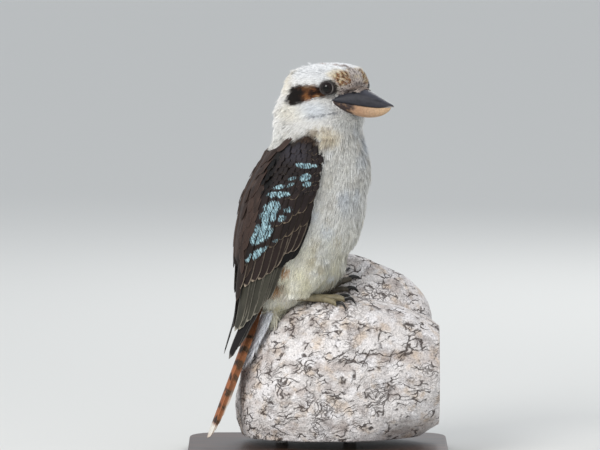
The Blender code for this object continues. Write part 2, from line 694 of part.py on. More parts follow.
def make_leg(word, bird, tree):
    """The feathered thigh, from under the belly to the heel, with a socket for the shank."""
    side, hip, heel, ball_place = LEGS[word]
    hip, heel = np.array(hip), np.array(heel)
    shares = (0.0, 0.3, 0.6, 0.82, 1.0)
    radii = (17.0, 18.5, 16.5, 12.5, 6.8)
    bow = np.array((3.0, side * 1.5, 0.0))
    angle = np.linspace(0.0, 2.0 * math.pi, 16, endpoint=False)
    rings = []
    for share, radius in zip(shares, radii):
        middle = hip + (heel - hip) * share + bow * math.sin(math.pi * share)
        circle = np.column_stack((1.12 * np.cos(angle), 0.8 * np.sin(angle), np.zeros(16))) * radius
        rings.append(middle + circle)
    leg = loft("leg_" + word, rings)
    cut(leg, body_piece("body_room", -100.0, 158.0, 8.0, GAP))
    cut(leg, shank("shank_room", word, tree, GAP))
    return finish(leg, "white_feathers", bird)


def perch_ring(rings, height, grow=0.0):
    """One level ring of the limb or its shoulder, with its lumps."""
    left, right, near, far = smooth(rings, [height])[0]
    angle = np.linspace(0.0, 2.0 * math.pi, LIMB_SIDES, endpoint=False)
    x, y = super_ring((right - left) / 2 + grow, (right - left) / 2 + grow, (far - near) / 2 + grow,
                      LIMB_SQUARENESS, LIMB_SQUARENESS, LIMB_SIDES)
    swell = 1.0
    for count, size, phase, rate in LIMB_LUMPS:
        swell = swell + size * np.sin(count * angle + phase + rate * height)
    x, y = x * swell + (left + right) / 2, y * swell + (near + far) / 2
    if rings is SHOULDER_RINGS:
        x, y = turned(x - SHOULDER_TOP[0], y - SHOULDER_TOP[1], SHOULDER_TURN)
        x, y = x + SHOULDER_TOP[0], y + SHOULDER_TOP[1]
    return np.column_stack((x, y, np.full(LIMB_SIDES, height)))


def make_perch(name="perch", grow=0.0):
    """A sawn piece of a thick limb: flat where the rods enter it and at its right end."""
    levels = np.concatenate((np.linspace(LIMB_BOTTOM, 133.0, 10), (138.0, 142.0, 146.0, 149.0)))
    shoulder_levels = (96.0, 118.0, 136.0, 150.0, 158.0, 167.5, 176.0, 182.0, 186.0)
    rise = np.array((0.0, 0.0, grow))
    perch = loft(name, [perch_ring(LIMB_RINGS, height, grow) for height in levels], None, LIMB_TOP + rise)
    rings = [perch_ring(SHOULDER_RINGS, height, grow) for height in shoulder_levels]
    perch = join(name, [perch, loft(name + "_shoulder", rings, None, SHOULDER_TOP + rise)])
    if grow:
        return perch
    end = [(LIMB_CUT, y, z) for y, z in ((-120.0, 0.0), (120.0, 0.0), (120.0, 300.0), (-120.0, 300.0))]
    cut(perch, loft("saw", [end, [(x + 90.0, y, z) for x, y, z in end]]))
    return finish(perch, "bark")


def limb_height(tree, x, y):
    """How high the limb's surface is at a place, in millimetres."""
    hit = tree.ray_cast(Vector((x * MM, y * MM, 0.4)), Vector((0.0, 0.0, -1.0)))[0]
    return hit.z / MM


def sole_height(tree, x, y):
    """The limb's height under a place in the bird's frame, counted from the bird's soles."""
    world_x, world_y = turned(x, y, BODY_TURN)
    return limb_height(tree, world_x, world_y) - SOLE_LEVEL


def shank(name, word, tree, grow=0.0):
    """The bare shank, from inside the thigh's end to the ball of the foot."""
    side, hip, heel, (ball_x, ball_y) = LEGS[word]
    ball = np.array((ball_x, ball_y, toe_clearance(tree, ball_x, ball_y, 3.9)))
    heel = np.array(heel)
    way = (heel - ball) / np.linalg.norm(heel - ball)
    path = [ball - way * 1.5, ball, (ball + heel) / 2, heel - way * 0.5, heel + way * (2.0 + grow)]
    radii = np.array((3.2, 3.8, TARSUS_RADIUS, 3.6, 3.3)) + grow
    return tube(name, path, radii, 10)


def make_foot(word, bird, tree):
    """A short scaly shank and four clawed toes that follow the bark."""
    side, hip, heel, (ball_x, ball_y) = LEGS[word]
    pieces = [shank("foot_" + word, word, tree)]
    for toe, (turn, length, radius) in enumerate(TOES):
        angle = math.radians(turn * side)
        path, radii = [], []
        bone = length - CLAW_LENGTH * 0.25
        for share in (0.0, 0.2, 0.4, 0.6, 0.8, 1.0):
            x, y = ball_x + math.cos(angle) * bone * share, ball_y + math.sin(angle) * bone * share
            thick = radius * (1.0 - 0.3 * share)
            path.append((x, y, toe_clearance(tree, x, y, thick)))
            radii.append(thick * (1.05 if share in (0.0, 0.4, 0.8) else 0.88))
        pieces.append(tube(f"toe_{toe}", path, radii, 8))
        pieces.append(claw(f"claw_{toe}", path, radii[-1], angle, tree))
    foot = join("foot_" + word, pieces)
    if side > 0:
        room = make_perch("perch_room", GAP + 0.1)
        foot.parent = bird
        bpy.context.view_layer.update()
        cut(foot, room)
    return finish(foot, "foot_skin", bird)


def toe_clearance(tree, x, y, radius):
    """The height at which a ball of that radius lies just clear of the bark round a place."""
    highest = sole_height(tree, x, y) + radius
    for share in (0.5, 0.9):
        rise = radius * math.sqrt(1.0 - share * share)
        for step in range(8):
            a = math.pi * step / 4.0
            there = sole_height(tree, x + radius * share * math.cos(a), y + radius * share * math.sin(a))
            highest = max(highest, there + rise)
    return highest + GAP + 0.1


def claw(name, path, radius, angle, tree):
    """A curved claw from inside a toe's end down to the bark."""
    ahead = np.array((math.cos(angle), math.sin(angle), 0.0))
    end = np.array(path[-1])
    points, radii = [], []
    curve = ((-2.5, 0.2, 0.0), (1.5, 0.9, 0.25), (4.5, 0.6, 0.55), (6.8, -1.6, 0.82), (8.0, -4.6, 1.0))
    for reach, arch, share in curve:
        place = end + ahead * reach * CLAW_LENGTH / 10.0 + np.array((0.0, 0.0, arch))
        thick = radius * 0.92 * (1.0 - 0.84 * share)
        place[2] = max(toe_clearance(tree, place[0], place[1], thick), place[2])
        points.append(place)
        radii.append(thick)
    return tube(name, points, radii, 6)


def make_stand():
    """A flat base with rounded corners, and two short rods up to the limb."""
    corner_steps = 6
    outline = []
    for sx, sy, start in ((1, 1, 0.0), (-1, 1, 90.0), (-1, -1, 180.0), (1, -1, 270.0)):
        for i in range(corner_steps):
            a = math.radians(start + 90.0 * i / (corner_steps - 1))
            outline.append((sx * (BASE_LENGTH / 2 - BASE_CORNER) + BASE_CORNER * math.cos(a),
                            sy * (BASE_DEPTH / 2 - BASE_CORNER) + BASE_CORNER * math.sin(a)))
    bevel = 2.0
    top = BASE_THICKNESS
    levels = ((0.0, 0.0), (top - bevel, 0.0), (top - bevel * 0.3, bevel * 0.3), (top, bevel))
    rings = []
    for height, inset in levels:
        shrink_x, shrink_y = 1 - 2 * inset / BASE_LENGTH, 1 - 2 * inset / BASE_DEPTH
        rings.append([(x * shrink_x, y * shrink_y, height) for x, y in outline])
    finish(loft("stand_base", rings), "stand_wood")
    for number, (x, y) in enumerate(ROD_PLACES, 1):
        path = [(x, y, BASE_THICKNESS + GAP), (x, y, LIMB_BOTTOM - GAP)]
        around = np.linspace(0.0, 2.0 * math.pi, ROD_SIDES, endpoint=False)
        circle_x, circle_y = ROD_RADIUS * np.cos(around), ROD_RADIUS * np.sin(around)
        rings = []
        for middle_x, middle_y, height in path:
            level = np.full(ROD_SIDES, height)
            rings.append(np.column_stack((middle_x + circle_x, middle_y + circle_y, level)))
        finish(loft(f"stand_rod_{number}", rings), "stand_metal")


def main():
    for old in list(bpy.data.objects):
        bpy.data.objects.remove(old)
    bird = bpy.data.objects.new("bird", None)
    bpy.context.scene.collection.objects.link(bird)
    bird.location = (0.0, 0.0, SOLE_LEVEL * MM)
    bird.rotation_euler = (0.0, 0.0, BODY_TURN)
    make_stand()
    perch = make_perch()
    tree = BVHTree.FromObject(perch, bpy.context.evaluated_depsgraph_get())
    make_head(bird)
    finish(body_piece("neck", NECK_FOOT + GAP / 2, NECK_TOP - GAP / 2, 5.0), "white_feathers", bird)
    torso = body_piece("torso", -100.0, NECK_FOOT - GAP / 2, 9.0)
    for word in LEGS:
        cut(torso, shank("shank_room", word, tree, GAP))
    finish(torso, "white_feathers", bird)
    make_bill(bird)
    make_eyes(bird)
    for word, side in (("right", -1), ("left", 1)):
        make_wing(word, side, bird)
        make_leg(word, bird, tree)
        make_foot(word, bird, tree)
    make_tail(bird)
    make_undertail(bird)


main()
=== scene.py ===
# %% [markdown]
# # A laughing kookaburra on a sawn limb, at life size
# The bird perches with its body turned a little from us and its head turned back over its right wing.
# Everything is worked out in millimetres in the bird's own frame, X forward, Y to its left and Z up from
# its soles, and each surface is a function of two parameters, so that skin, coat and markings agree.

import math

import bpy
import numpy as np
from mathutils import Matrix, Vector
from mathutils.bvhtree import BVHTree


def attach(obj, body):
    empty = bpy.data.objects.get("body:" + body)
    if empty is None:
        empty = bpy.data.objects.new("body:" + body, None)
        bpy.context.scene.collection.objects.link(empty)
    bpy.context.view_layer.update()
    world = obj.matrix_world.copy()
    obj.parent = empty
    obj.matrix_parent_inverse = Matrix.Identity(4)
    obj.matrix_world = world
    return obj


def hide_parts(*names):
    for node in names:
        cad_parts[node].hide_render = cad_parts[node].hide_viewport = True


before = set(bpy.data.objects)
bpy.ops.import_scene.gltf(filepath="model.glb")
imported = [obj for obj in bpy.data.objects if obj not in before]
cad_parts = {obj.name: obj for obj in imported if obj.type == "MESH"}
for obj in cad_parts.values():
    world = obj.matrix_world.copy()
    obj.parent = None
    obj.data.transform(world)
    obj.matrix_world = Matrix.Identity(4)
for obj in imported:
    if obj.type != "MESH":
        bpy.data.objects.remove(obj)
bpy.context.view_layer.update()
MM = 0.001
BODY_TURN, HEAD_TURN = math.radians(12.0), math.radians(-58.0)
SOLE_LEVEL, EYE_LEVEL, HEAD_CENTRE = 146.5, 201.0, 9.5
print("the frame holds", len(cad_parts), "parts")


# %% [markdown]
# ## Small tools
# A colour is written as the screen shows it and turned into linear light once. Value noise gives every
# irregular thing, from bark cracks to the speckles of the forehead, and is the same at each run.

# %% Number tools
def linear(code):
    """A screen colour like #aabbcc in linear light: a channel c becomes ((c + 0.055) / 1.055) ** 2.4."""
    channels = np.array([int(code[i : i + 2], 16) for i in (1, 3, 5)]) / 255.0
    return np.where(channels <= 0.04045, channels / 12.92, ((channels + 0.055) / 1.055) ** 2.4)


def ramp(value, start, end):
    """0 up to the start, 1 from the end on, and 3tt - 2ttt between them."""
    t = np.clip((value - start) / (end - start), 0.0, 1.0)
    return t * t * (3.0 - 2.0 * t)


def band(value, low, high, soft):
    """1 between low and high, with soft edges."""
    return ramp(value, low - soft, low + soft) * (1.0 - ramp(value, high - soft, high + soft))


def noise(points, size, seed=0):
    """Value noise from -1 to 1: random numbers at the corners of cells of that size, blended smoothly."""
    place = np.asarray(points) / size
    cell = np.floor(place)
    t = place - cell
    t = t * t * (3.0 - 2.0 * t)
    total = 0.0
    for corner in np.ndindex(2, 2, 2):
        weight = np.prod(np.where(corner, t, 1.0 - t), axis=-1)
        at = cell + corner
        wave = at[..., 0] * 127.1 + at[..., 1] * 311.7 + at[..., 2] * 74.7 + seed * 53.3
        wave = np.sin(wave) * 43758.5453
        total = total + weight * (wave - np.floor(wave))
    return total * 2.0 - 1.0


def rough(points, size, seed=0, octaves=3):
    """Noise with ever finer and weaker noise added, each half the size and strength of the one before."""
    size = np.asarray(size, float)
    return sum(noise(points, size / 2**k, seed + k) / 2**k for k in range(octaves))


def smooth(table, values):
    """Every column of a table at the given values of its first column, on cubic curves through its rows."""
    knots = table[:, 0]
    slopes = np.gradient(table[:, 1:], knots, axis=0)
    shape = np.shape(values)
    values = np.clip(np.ravel(values), knots[0], knots[-1])
    found = np.clip(np.searchsorted(knots, values, side="right") - 1, 0, len(knots) - 2)
    span = (knots[found + 1] - knots[found])[:, None]
    t = (values[:, None] - knots[found][:, None]) / span
    curve = (
        table[found, 1:] * (1 + 2 * t) * (1 - t) ** 2
        + slopes[found] * span * t * (1 - t) ** 2
        + table[found + 1, 1:] * t * t * (3 - 2 * t)
        - slopes[found + 1] * span * t * t * (1 - t)
    )
    return np.moveaxis(curve.reshape(*shape, -1), -1, 0)


# %% Turns, frames and directions
def turned(forward, side, angle):
    """Forward and side reach turned about the vertical by an angle."""
    return forward * np.cos(angle) - side * np.sin(angle), forward * np.sin(angle) + side * np.cos(angle)


def power_circle(angle, square):
    """Cosine and sine raised to 2 over the squareness with their signs kept: a circle that grows corners."""
    along, across = np.cos(angle), np.sin(angle)
    power = 2.0 / square
    return np.sign(along) * np.abs(along) ** power, np.sign(across) * np.abs(across) ** power


def to_world(points):
    """Bird's frame to the frame of the stand: a turn about the vertical, then up to the soles."""
    x, y = turned(points[..., 0], points[..., 1], BODY_TURN)
    return np.stack((x, y, points[..., 2] + SOLE_LEVEL), -1)


def to_head(points):
    """Bird's frame to the head's own frame: forward along the bill, to its left, up from the eyes' level."""
    forward, side = turned(points[..., 0] - HEAD_CENTRE, points[..., 1], -HEAD_TURN)
    return np.stack((forward, side, points[..., 2] - EYE_LEVEL), -1)


def from_head(places):
    """The head's own frame to the bird's frame."""
    places = np.asarray(places, float)
    x, y = turned(places[..., 0], places[..., 1], HEAD_TURN)
    return np.stack((x + HEAD_CENTRE, y, places[..., 2] + EYE_LEVEL), -1)


def unit(vectors):
    """Vectors divided by their length."""
    return vectors / np.maximum(np.linalg.norm(vectors, axis=-1, keepdims=True), 1e-9)


def flattened(way, normal):
    """A direction laid flat on a surface: less its share along the normal, and of length one."""
    return unit(way - (way * normal).sum(-1, keepdims=True) * normal)


def head_way(direction):
    """A direction of the head's frame in the bird's frame: turned, but not moved."""
    return from_head(direction) - from_head((0.0, 0.0, 0.0))


def circle(count):
    """Angles evenly round a full turn, the last one a step short of the first."""
    return np.linspace(0.0, 2.0 * np.pi, count, endpoint=False)


def grid(first, second):
    """Two rows of numbers as a grid of all their pairs."""
    return np.meshgrid(first, second, indexing="ij")


UP = np.array((0.0, 0.0, 1.0))

print("white in linear light", linear("#ffffff"))


# %% Mesh tools
def add_mesh(name, points, faces, finish, paints=None, maps=None, replaced=()):
    """One mesh object from points in millimetres and arrays of face corners, with its colours and maps."""
    data = bpy.data.meshes.new(name)
    corners = np.concatenate([part.ravel() for part in faces]).astype(np.int32)
    totals = np.concatenate([np.full(len(part), part.shape[1]) for part in faces])
    starts = np.concatenate(([0], np.cumsum(totals)[:-1])).astype(np.int32)
    data.vertices.add(len(points))
    data.vertices.foreach_set("co", (points * MM).astype(np.float32).ravel())
    data.loops.add(len(corners))
    data.loops.foreach_set("vertex_index", corners)
    data.polygons.add(len(totals))
    data.polygons.foreach_set("loop_start", starts)
    data.update(calc_edges=True)
    data.validate()
    for word, values in (paints or {}).items():
        colours = np.ones((len(points), 4), np.float32)
        colours[:, : values.shape[-1]] = values
        data.color_attributes.new(word, "FLOAT_COLOR", "POINT").data.foreach_set("color", colours.ravel())
    for word, values in (maps or {}).items():
        if len(values) != len(corners):
            values = values[corners]
        data.uv_layers.new(name=word).data.foreach_set("uv", values.astype(np.float32).ravel())
    data.materials.append(finish)
    data.shade_smooth()
    made = bpy.data.objects.new(name, data)
    bpy.context.scene.collection.objects.link(made)
    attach(made, "root")
    if replaced:
        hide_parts(*replaced)
    triangles = int((totals - 2).sum())
    print(f"{name}: {len(points)} points, {triangles} triangles")
    return made


def shell_faces(pieces, rings, sides):
    """Faces of closed tubes: quads between rings of points, and one flat face at each end."""
    ring = np.arange(rings - 1)[:, None] * sides
    i = np.arange(sides)[None]
    j = (i + 1) % sides
    quads = np.stack((ring + i, ring + j, ring + sides + j, ring + sides + i), -1).reshape(-1, 4)
    ends = np.stack((np.arange(sides)[::-1], (rings - 1) * sides + np.arange(sides)))
    first = (np.arange(pieces) * rings * sides)[:, None, None]
    return [(quads[None] + first).reshape(-1, 4), (ends[None] + first).reshape(-1, sides)]


def merged(parts):
    """Several grids of points with their colours as one. A part without faces of its own is a closed tube."""
    points, faces, colours, first = [], [], [], 0
    for place, colour, *own in parts:
        shape = own[0] if own else shell_faces(1, *place.shape[:2])
        points.append(place.reshape(-1, 3))
        colours.append(colour.reshape(-1, colour.shape[-1]))
        faces += [part + first for part in shape]
        first += len(points[-1])
    return np.concatenate(points), faces, np.concatenate(colours)


def add_parts(name, parts, finish, replaced=()):
    """Closed parts in the bird's frame as one mesh, with their colours as its paint."""
    points, faces, colours = merged(parts)
    add_mesh(name, to_world(points), faces, finish, {"paint": colours}, replaced=replaced)


# %% [markdown]
# ## Finishes
# Each material is made of nodes that read the mesh's own colours, so a marking is the same on skin and coat.

# %% Material tools
def new_finish(name, **values):
    """A material with one Principled shader whose sockets have the given values."""
    made = bpy.data.materials.new(name)
    made.use_nodes = True
    shader = made.node_tree.nodes["Principled BSDF"]
    for socket, value in values.items():
        shader.inputs[socket.replace("_", " ")].default_value = value
    return made, made.node_tree, shader


def add(tree, kind, inputs=None, **settings):
    """Adds one node with its settings. An input is a number or colour, or another node's output."""
    made = tree.nodes.new(kind)
    for key, value in settings.items():
        setattr(made, key, value)
    for key, value in (inputs or {}).items():
        if isinstance(value, bpy.types.NodeSocket):
            tree.links.new(value, made.inputs[key])
        else:
            made.inputs[key].default_value = value
    return made


def calc(tree, operation, first, second=0.0):
    """One sum on two numbers or outputs."""
    return add(tree, "ShaderNodeMath", {0: first, 1: second}, operation=operation).outputs[0]


def step_between(tree, value, low, high, start=0.0, end=1.0):
    """A soft step from start at low to end at high."""
    inputs = {"Value": value, "From Min": low, "From Max": high, "To Min": start, "To Max": end}
    return add(tree, "ShaderNodeMapRange", inputs, interpolation_type="SMOOTHSTEP").outputs[0]


def blend(tree, share, first, second, mode="MIX"):
    """Two colours mixed by a share."""
    inputs = {0: share, 6: first, 7: second}
    return add(tree, "ShaderNodeMix", inputs, data_type="RGBA", blend_type=mode).outputs[2]


def rgba(code):
    """A screen colour as four numbers for a socket."""
    return (*linear(code), 1.0)


def bumps(tree, shader, height, strength, distance):
    """Small relief from a height."""
    bump = add(tree, "ShaderNodeBump", {"Height": height, "Strength": strength, "Distance": distance})
    tree.links.new(bump.outputs[0], shader.inputs["Normal"])


def object_place(tree):
    """The place on the object, in metres."""
    return add(tree, "ShaderNodeTexCoord").outputs["Object"]


def noise_node(tree, vector, scale, detail=2.0, **settings):
    """The outputs of a noise: its first is a number round 0.5, its second a colour of three such numbers."""
    inputs = {"Vector": vector, "Scale": scale, "Detail": detail}
    return add(tree, "ShaderNodeTexNoise", {**inputs, **settings}).outputs


def stretched(tree, vector, scale):
    """A place scaled along each axis, so that a pattern is drawn out along the axis of the smallest scale."""
    return add(tree, "ShaderNodeMapping", {"Vector": vector, "Scale": scale}).outputs[0]


def painted(name, grain=900.0, depth=0.12, **values):
    """A finish whose colour is the mesh's own paint, varied a little by fine noise."""
    made, tree, shader = new_finish(name, **values)
    paint = add(tree, "ShaderNodeAttribute", attribute_name="paint").outputs["Color"]
    fine = noise_node(tree, object_place(tree), grain, 3.0)[0]
    shade = step_between(tree, fine, 0.3, 0.7, 1.0 - depth, 1.0 + depth)
    tree.links.new(blend(tree, 1.0, paint, shade, "MULTIPLY"), shader.inputs["Base Color"])
    return made, tree, shader, fine


# %% [markdown]
# ## The body as one surface
# A table of level rings from the vent to the crown gives the bird's own form. The rings are measured
# along the profile, so that the surface closes smoothly over the crown, and each is a rounded ellipse whose
# turn grows from the breast to the head, which is how the neck twists.

# %% Body tables
# height, centre, reach forward, reach back, half width, squareness in front, squareness behind, turn
BODY_RINGS = np.array((
    (-9.0, -46.0, 0.02, 0.02, 0.02, 2.0, 2.0, 0.0),
    (-7.0, -46.0, 11.0, 5.0, 9.0, 2.0, 2.0, 0.0),
    (-2.0, -46.0, 22.0, 9.0, 14.0, 2.0, 2.0, 0.0),
    (4.0, -46.0, 37.0, 14.5, 19.0, 2.0, 2.0, 0.0),
    (10.0, -44.5, 48.0, 18.5, 22.5, 2.0, 2.0, 0.0),
    (16.0, -42.0, 55.5, 22.0, 25.5, 2.0, 2.0, 0.0),
    (22.0, -40.0, 59.5, 25.0, 28.0, 2.0, 2.0, 0.0),
    (30.0, -37.0, 61.0, 29.0, 31.0, 2.0, 2.0, 0.0),
    (44.0, -30.0, 59.5, 37.0, 34.5, 2.0, 2.1, 0.0),
    (58.0, -23.0, 60.5, 48.0, 37.0, 2.1, 2.1, 0.0),
    (77.0, -17.0, 60.0, 55.0, 39.0, 2.1, 2.1, 0.0),
    (96.0, -12.0, 58.0, 56.5, 40.5, 2.1, 2.1, 0.0),
    (115.0, -8.0, 57.5, 53.0, 40.5, 2.1, 2.1, 0.0),
    (129.0, -6.0, 55.0, 46.5, 39.5, 2.1, 2.1, 0.0),
    (143.0, -3.0, 49.0, 43.0, 37.0, 2.1, 2.1, -2.0),
    (152.0, 0.0, 43.5, 42.0, 35.0, 2.1, 2.1, -8.0),
    (162.0, 2.0, 40.0, 42.5, 33.0, 2.1, 2.1, -22.0),
    (173.0, 5.0, 39.5, 47.5, 32.5, 2.1, 2.2, -42.0),
    (180.0, 6.0, 36.5, 50.5, 32.0, 2.0, 2.2, -50.0),
    (187.0, 7.0, 34.5, 50.0, 31.5, 1.8, 2.2, -56.0),
    (195.0, 8.5, 36.0, 46.5, 31.0, 1.9, 2.3, -58.0),
    (201.8, 9.5, 39.5, 43.0, 31.0, 2.2, 2.4, -58.0),
    (207.2, 9.5, 40.5, 41.0, 30.0, 2.4, 2.4, -58.0),
    (212.2, 9.5, 39.0, 38.5, 27.5, 2.4, 2.4, -58.0),
    (216.2, 10.5, 36.0, 34.0, 23.5, 2.4, 2.3, -58.0),
    (218.9, 14.0, 30.0, 27.5, 18.5, 2.3, 2.2, -58.0),
    (221.1, 15.5, 21.0, 20.0, 12.5, 2.2, 2.1, -58.0),
    (222.1, 16.5, 11.0, 11.0, 6.5, 2.0, 2.0, -58.0),
    (222.6, 16.5, 0.02, 0.02, 0.02, 2.0, 2.0, -58.0),
))
PROFILE = np.hypot(np.diff(BODY_RINGS[:, 0]), np.diff(BODY_RINGS[:, 2:5].mean(axis=1)))
BODY = np.column_stack((np.concatenate(([0.0], np.cumsum(PROFILE))), BODY_RINGS))
BODY_LENGTH = BODY[-1, 0]


def body(s, angle):
    """The body's surface: a distance along the profile from vent to crown, and an angle from the front."""
    height, centre, front, back, half, square_front, square_back, turn = smooth(BODY, s)
    ahead = np.cos(angle) > 0
    along, across = power_circle(angle, np.where(ahead, square_front, square_back))
    x, y = turned(along * np.where(ahead, front, back), across * half, np.radians(turn))
    return np.stack((x + centre, y, height), -1)


def on_surface(surface, s, angle, low, high):
    """Point, outward normal, and slopes along both parameters of a surface, by small differences."""
    step, turn = (high - low) * 0.0015, 0.012
    inner = np.clip(s, low + 2.5 * step, high - 4.0 * step)
    rise = (surface(inner + step, angle) - surface(inner - step, angle)) / (2.0 * step)
    round_it = (surface(inner, angle + turn) - surface(inner, angle - turn)) / (2.0 * turn)
    return surface(s, angle), unit(np.cross(round_it, rise)), rise, round_it


def bend_along(surface, s, angle, way, low, high, rise, round_it):
    """How fast the surface curves away along a direction: the turn of its normal per millimetre walked."""
    ee, gg = (rise * rise).sum(-1), (round_it * round_it).sum(-1)
    ff, a, b = (rise * round_it).sum(-1), (way * rise).sum(-1), (way * round_it).sum(-1)
    area = np.maximum(ee * gg - ff * ff, 1e-6)
    ds, da = (a * gg - b * ff) / area, (b * ee - a * ff) / area
    reach, limit = 1.5, 0.3
    ds, da = reach * ds, np.clip(reach * da, -limit, limit)
    after = on_surface(surface, s + ds, angle + da, low, high)[1]
    before = on_surface(surface, s - ds, angle - da, low, high)[1]
    return np.clip(((after - before) * way).sum(-1) / (2.0 * reach), -0.03, 0.07)


print("the body's profile is", round(BODY_LENGTH), "mm long")

# %% Thighs, tail and undertail surfaces
# side, hip, heel and ball of each foot
LEGS = {
    "right": (-1, (-13.0, -18.0, 48.0), (-25.0, -22.0, 5.5), (-3.0, -20.5)),
    "left": (1, (-8.0, 17.0, 52.0), (-5.0, 14.0, 19.0), (10.0, 10.5)),
}
THIGH = np.array(((-0.06, 0.1), (0.0, 6.8), (0.18, 12.5), (0.4, 16.5), (0.7, 18.5), (1.0, 17.0)))
TAIL_ROOT, TAIL_TIP = np.array((-55.0, 0.0, 9.0)), np.array((-106.5, 0.0, -127.5))
TAIL_LENGTH = np.linalg.norm(TAIL_TIP - TAIL_ROOT)
TAIL_WAY = (TAIL_TIP - TAIL_ROOT) / TAIL_LENGTH
TAIL_UP = np.array((TAIL_WAY[2], 0.0, -TAIL_WAY[0]))
# distance from the tail's root, half width, upper and lower depth under the tail
UNDERTAIL = np.array(
    ((4.0, 9.0, 9.4, 17.8), (6.0, 9.5, 9.8, 18.0), (24.0, 10.5, 9.4, 17.5), (42.0, 9.5, 8.6, 15.0),
     (56.0, 7.5, 8.2, 12.8), (68.0, 4.0, 8.0, 10.8), (74.0, 1.4, 8.0, 9.4), (75.5, 0.1, 8.6, 8.8))
)


def thigh(word):
    """The feathered thigh as a surface: its share of the way from heel to hip, and an angle."""
    side, hip, heel, _ = LEGS[word]

    def surface(s, angle):
        radius = smooth(THIGH, s)[0]
        share = s[..., None]
        bow = np.sin(np.pi * np.clip(share, 0.0, 1.0)) * np.array((3.0, side * 1.5, 0.0))
        middle = np.array(heel) + (np.array(hip) - np.array(heel)) * share + bow
        along, across = 1.12 * radius * np.cos(angle), 0.8 * radius * np.sin(angle)
        return middle + np.stack((along, across, np.zeros_like(along)), -1)

    return surface


def undertail(s, angle):
    """The feathers under the tail as a surface: minus the distance along the tail, and an angle."""
    half, top, bottom = smooth(UNDERTAIL, -s)
    drop = (top + bottom) / 2 - (bottom - top) / 2 * np.cos(angle)
    place = TAIL_ROOT - s[..., None] * TAIL_WAY - drop[..., None] * TAIL_UP
    return place + (half * np.sin(angle))[..., None] * np.array((0.0, -1.0, 0.0))


# %% [markdown]
# ## Markings
# One function gives the colour of skin and coat at any place, in the head's frame for the face and in the
# bird's frame for the rest. The head is white with a broad brown-black patch behind the eye, rufous streaks
# on the crown, a speckled forehead and lores, and a faint grey-green throat. The mantle is brown.

# %% Marking tools
EYE_PLACE, EYE_FORWARD = np.array((25.0, 25.9, 1.2)), math.radians(28.0)
EYE_RADIUS, EYE_DEPTH = 7.0, 3.9
# the height of the mantle's lower edge, by places forward
MANTLE_EDGE = (
    (-60.0, -46.0, -42.0, -37.0, -29.0, -21.0, -15.0, -6.0, 0.0),
    (128.0, 134.5, 141.0, 145.0, 150.0, 154.0, 155.0, 148.0, 140.0),
)
# how far forward the brown feathers between back and wing reach, by heights
BROWN_EDGE = (
    (28.0, 39.6, 52.0, 66.0, 79.0, 97.0, 115.0, 130.0, 139.0, 148.0, 154.0, 158.0),
    (-81.5, -80.0, -77.0, -73.5, -67.5, -60.5, -55.0, -51.0, -46.0, -39.0, -33.5, -28.0),
)
# how far forward the folded wing reaches, by heights
WING_FRONT = (
    (-30.0, 27.0, 42.5, 61.5, 78.0, 92.0, 104.0, 118.0, 129.0, 140.0, 150.0, 157.0),
    (-50.0, -42.0, -35.5, -28.0, -21.5, -16.0, -11.5, -6.5, -4.5, -2.0, -7.0, -13.0),
)
# the upper and lower edge of the patch behind the eye in the head's frame, by places forward
EAR_TOP = ((-27.0, -20.0, -14.0, -5.0, 5.0, 13.0, 19.0), (-4.3, -0.3, 1.4, 2.4, 2.2, 2.1, 0.5))
EAR_FOOT = (
    (-27.0, -15.0, -4.5, 5.0, 11.5, 16.0, 21.0, 26.0),
    (-15.5, -17.6, -15.2, -12.4, -9.6, -7.4, -6.8, -7.2),
)


# %% Places of the eyes and layers of colour
def eye_centre(side):
    """The middle of an eyeball in the bird's frame, sunk along the way that it looks."""
    place = EYE_PLACE * np.array((1.0, side, 1.0))
    return from_head(place - eye_look(side) * EYE_DEPTH)


def eye_look(side):
    """The way an eye looks, in the head's frame."""
    return np.array((math.sin(EYE_FORWARD), side * math.cos(EYE_FORWARD), 0.0))


def lay(colour, *layers):
    """Other colours laid over a colour one by one: each code is followed by its amount from 0 to 1."""
    for code, amount in zip(layers[::2], layers[1::2]):
        colour = colour + (linear(code) - colour) * np.clip(amount, 0.0, 1.0)[..., None]
    return colour


def plain(points, code):
    """One colour at every point."""
    return np.broadcast_to(linear(code), points.shape)


def spot(points, centre, size, soft=0.25):
    """1 inside an ellipsoid and 0 outside, with a soft edge."""
    distance = np.linalg.norm((points - np.array(centre)) / np.array(size), axis=-1)
    return 1.0 - ramp(distance, 1.0 - soft, 1.0 + soft)


